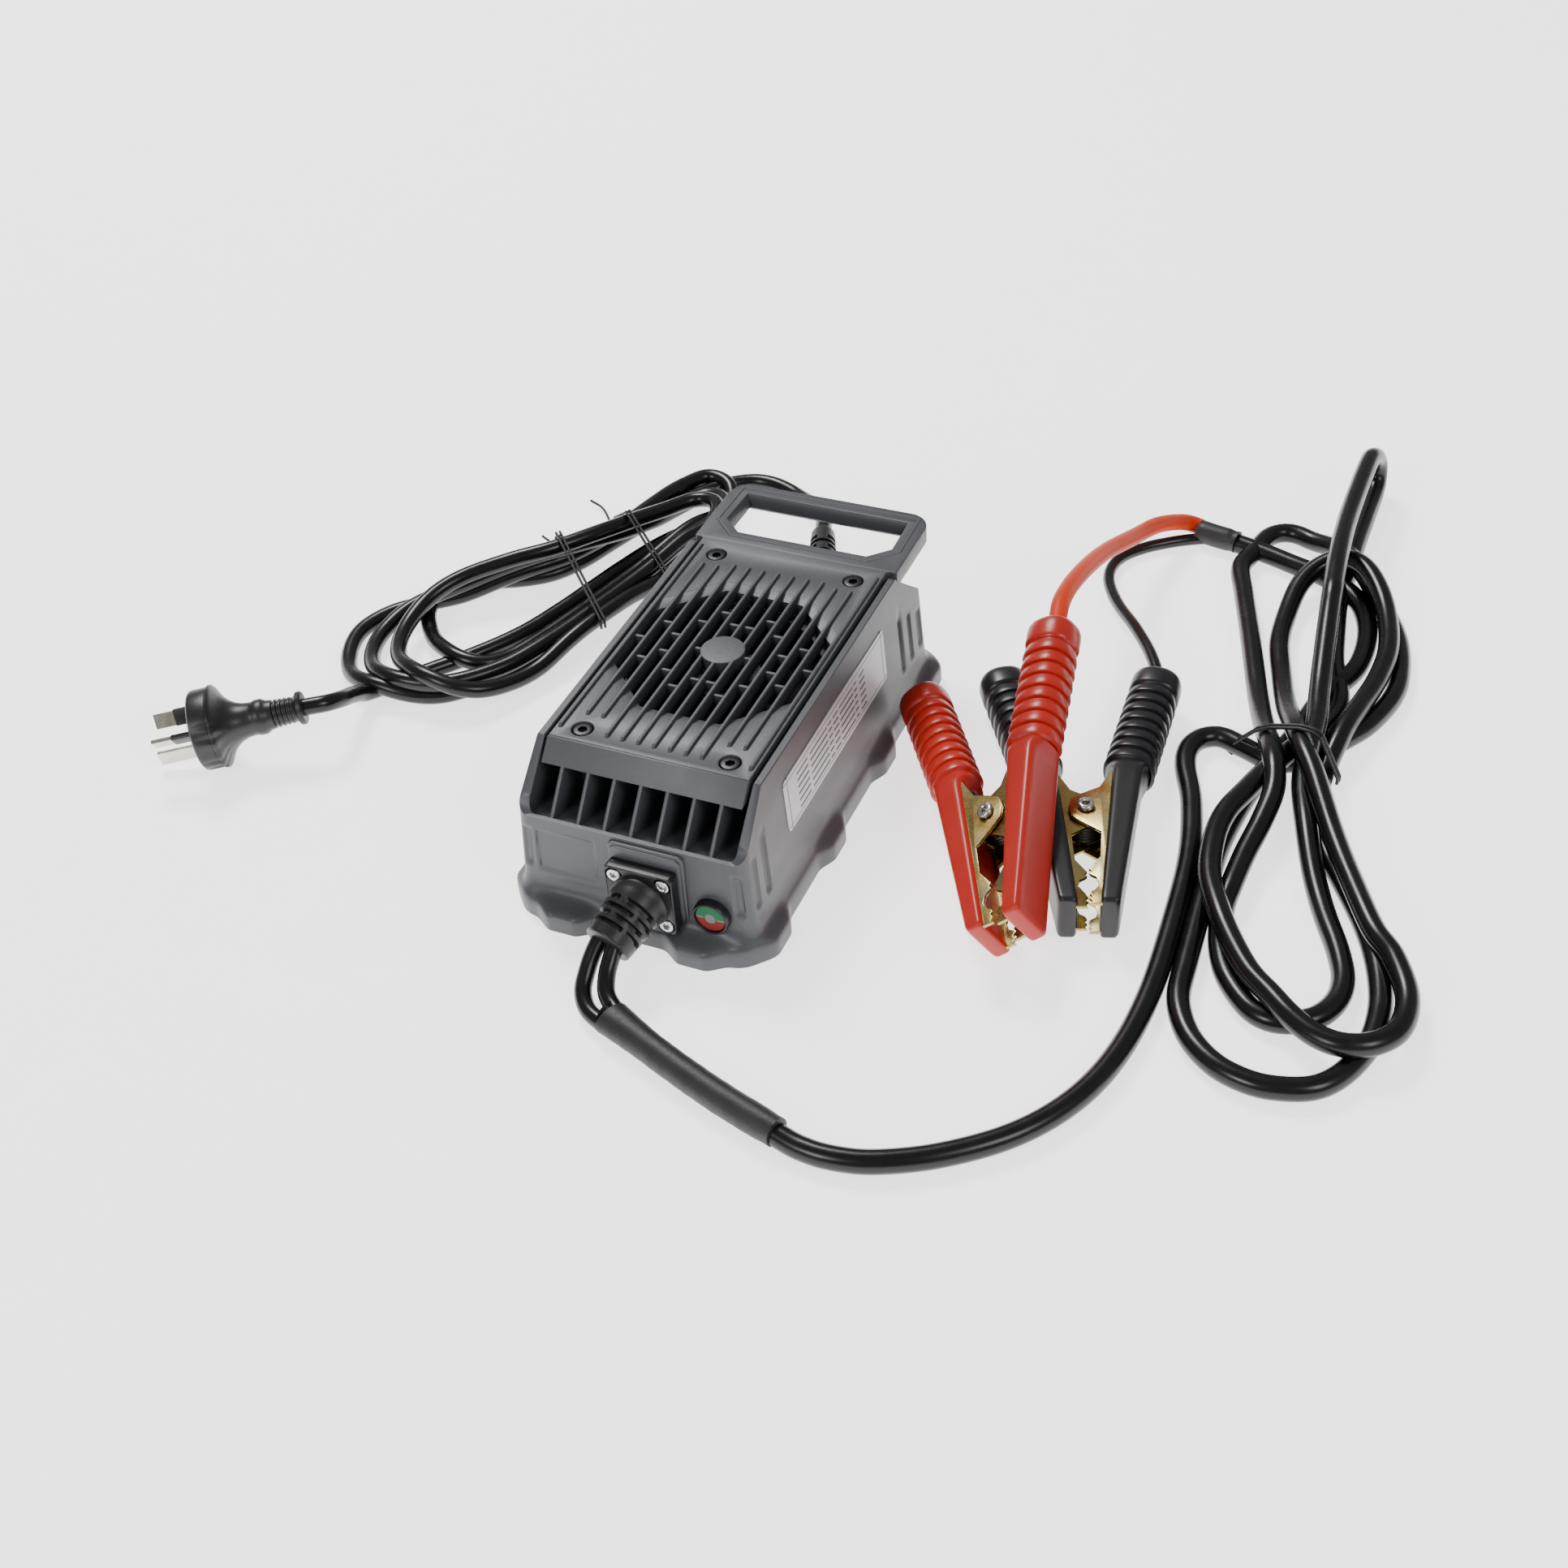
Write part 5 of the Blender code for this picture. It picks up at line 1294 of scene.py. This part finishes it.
for name in clamps:
    makeClamp(name)
print("clamps made")

# finishes of the CAD nodes that stay
kept = {
    "casePlastic": ["base_plate"],
    "bright": [f"base_screw_{k}" for k in range(1, 5)],
    "fanPlastic": ["fan_frame", "fan_rotor", "capacitor_1", "capacitor_2"],
    "winding": ["fan_stator", "transformer", "inductor"],
    "board": ["circuit_board"],
    "aluminium": ["heat_spreader"],
    "pin": ["plug_pin_earth", "plug_pin_active", "plug_pin_neutral"],
}
for finish, nodes in kept.items():
    for node in nodes:
        for materialSlot in bpy.data.objects[node].material_slots:
            materialSlot.material = skins[finish]

# floor and light
studio = {
    "floor": 14.0, "sky": 0.34,
    "lamps": [("keyLight", (-1.0, 1.0, 1.9), 0.8, 48), ("fillLight", (1.6, -0.7, 1.5), 0.9, 15),
              ("frontLight", (-0.5, -1.7, 1.3), 0.7, 15)],
}


def makeFloor():
    paint = Paint("floorPaper")
    grain = paint.noise(40.0, 4.0)
    tone = paint.blend(grain, (0.92, 0.92, 0.92), (0.95, 0.95, 0.95))
    paper = paint.finish(BaseColor=tone, Roughness=0.75 + grain * 0.1, EmissionColor=tone,
                         EmissionStrength=1.9)
    reach = studio["floor"] / 2
    grid = np.linspace(-reach, reach, 9)
    points = np.stack(np.meshgrid(grid, grid, [-0.0004]), -1).reshape(-1, 3)
    a = np.arange(72).reshape(8, 9)[:, :8].ravel()
    mesh = bpy.data.meshes.new("floor")
    mesh.from_pydata(points.tolist(), [], np.stack([a, a + 9, a + 10, a + 1], 1).tolist())
    mesh.materials.append(paper)
    floor = bpy.data.objects.new("floor", mesh)
    bpy.context.scene.collection.objects.link(floor)


def makeLights():
    world = bpy.data.worlds.new("studio")
    bpy.context.scene.world = world
    world.use_nodes = True
    world.node_tree.nodes["Background"].inputs["Color"].default_value = (1, 1, 1, 1)
    world.node_tree.nodes["Background"].inputs["Strength"].default_value = studio["sky"]
    for name, spot, size, power in studio["lamps"]:
        data = bpy.data.lights.new(name, "AREA")
        data.shape, data.size, data.energy = "DISK", size, power
        lamp = bpy.data.objects.new(name, data)
        d = unit(np.array([0.0, 0.0, 0.03]) - np.array(spot))
        across = unit(np.cross(d, (0, 0, 1)))
        turn = np.eye(4)
        turn[:3, 0], turn[:3, 1], turn[:3, 2], turn[:3, 3] = across, np.cross(across, d), -d, spot
        lamp.matrix_world = Matrix(turn.tolist())
        bpy.context.scene.collection.objects.link(lamp)


makeFloor()
makeLights()
print("floor and light made")
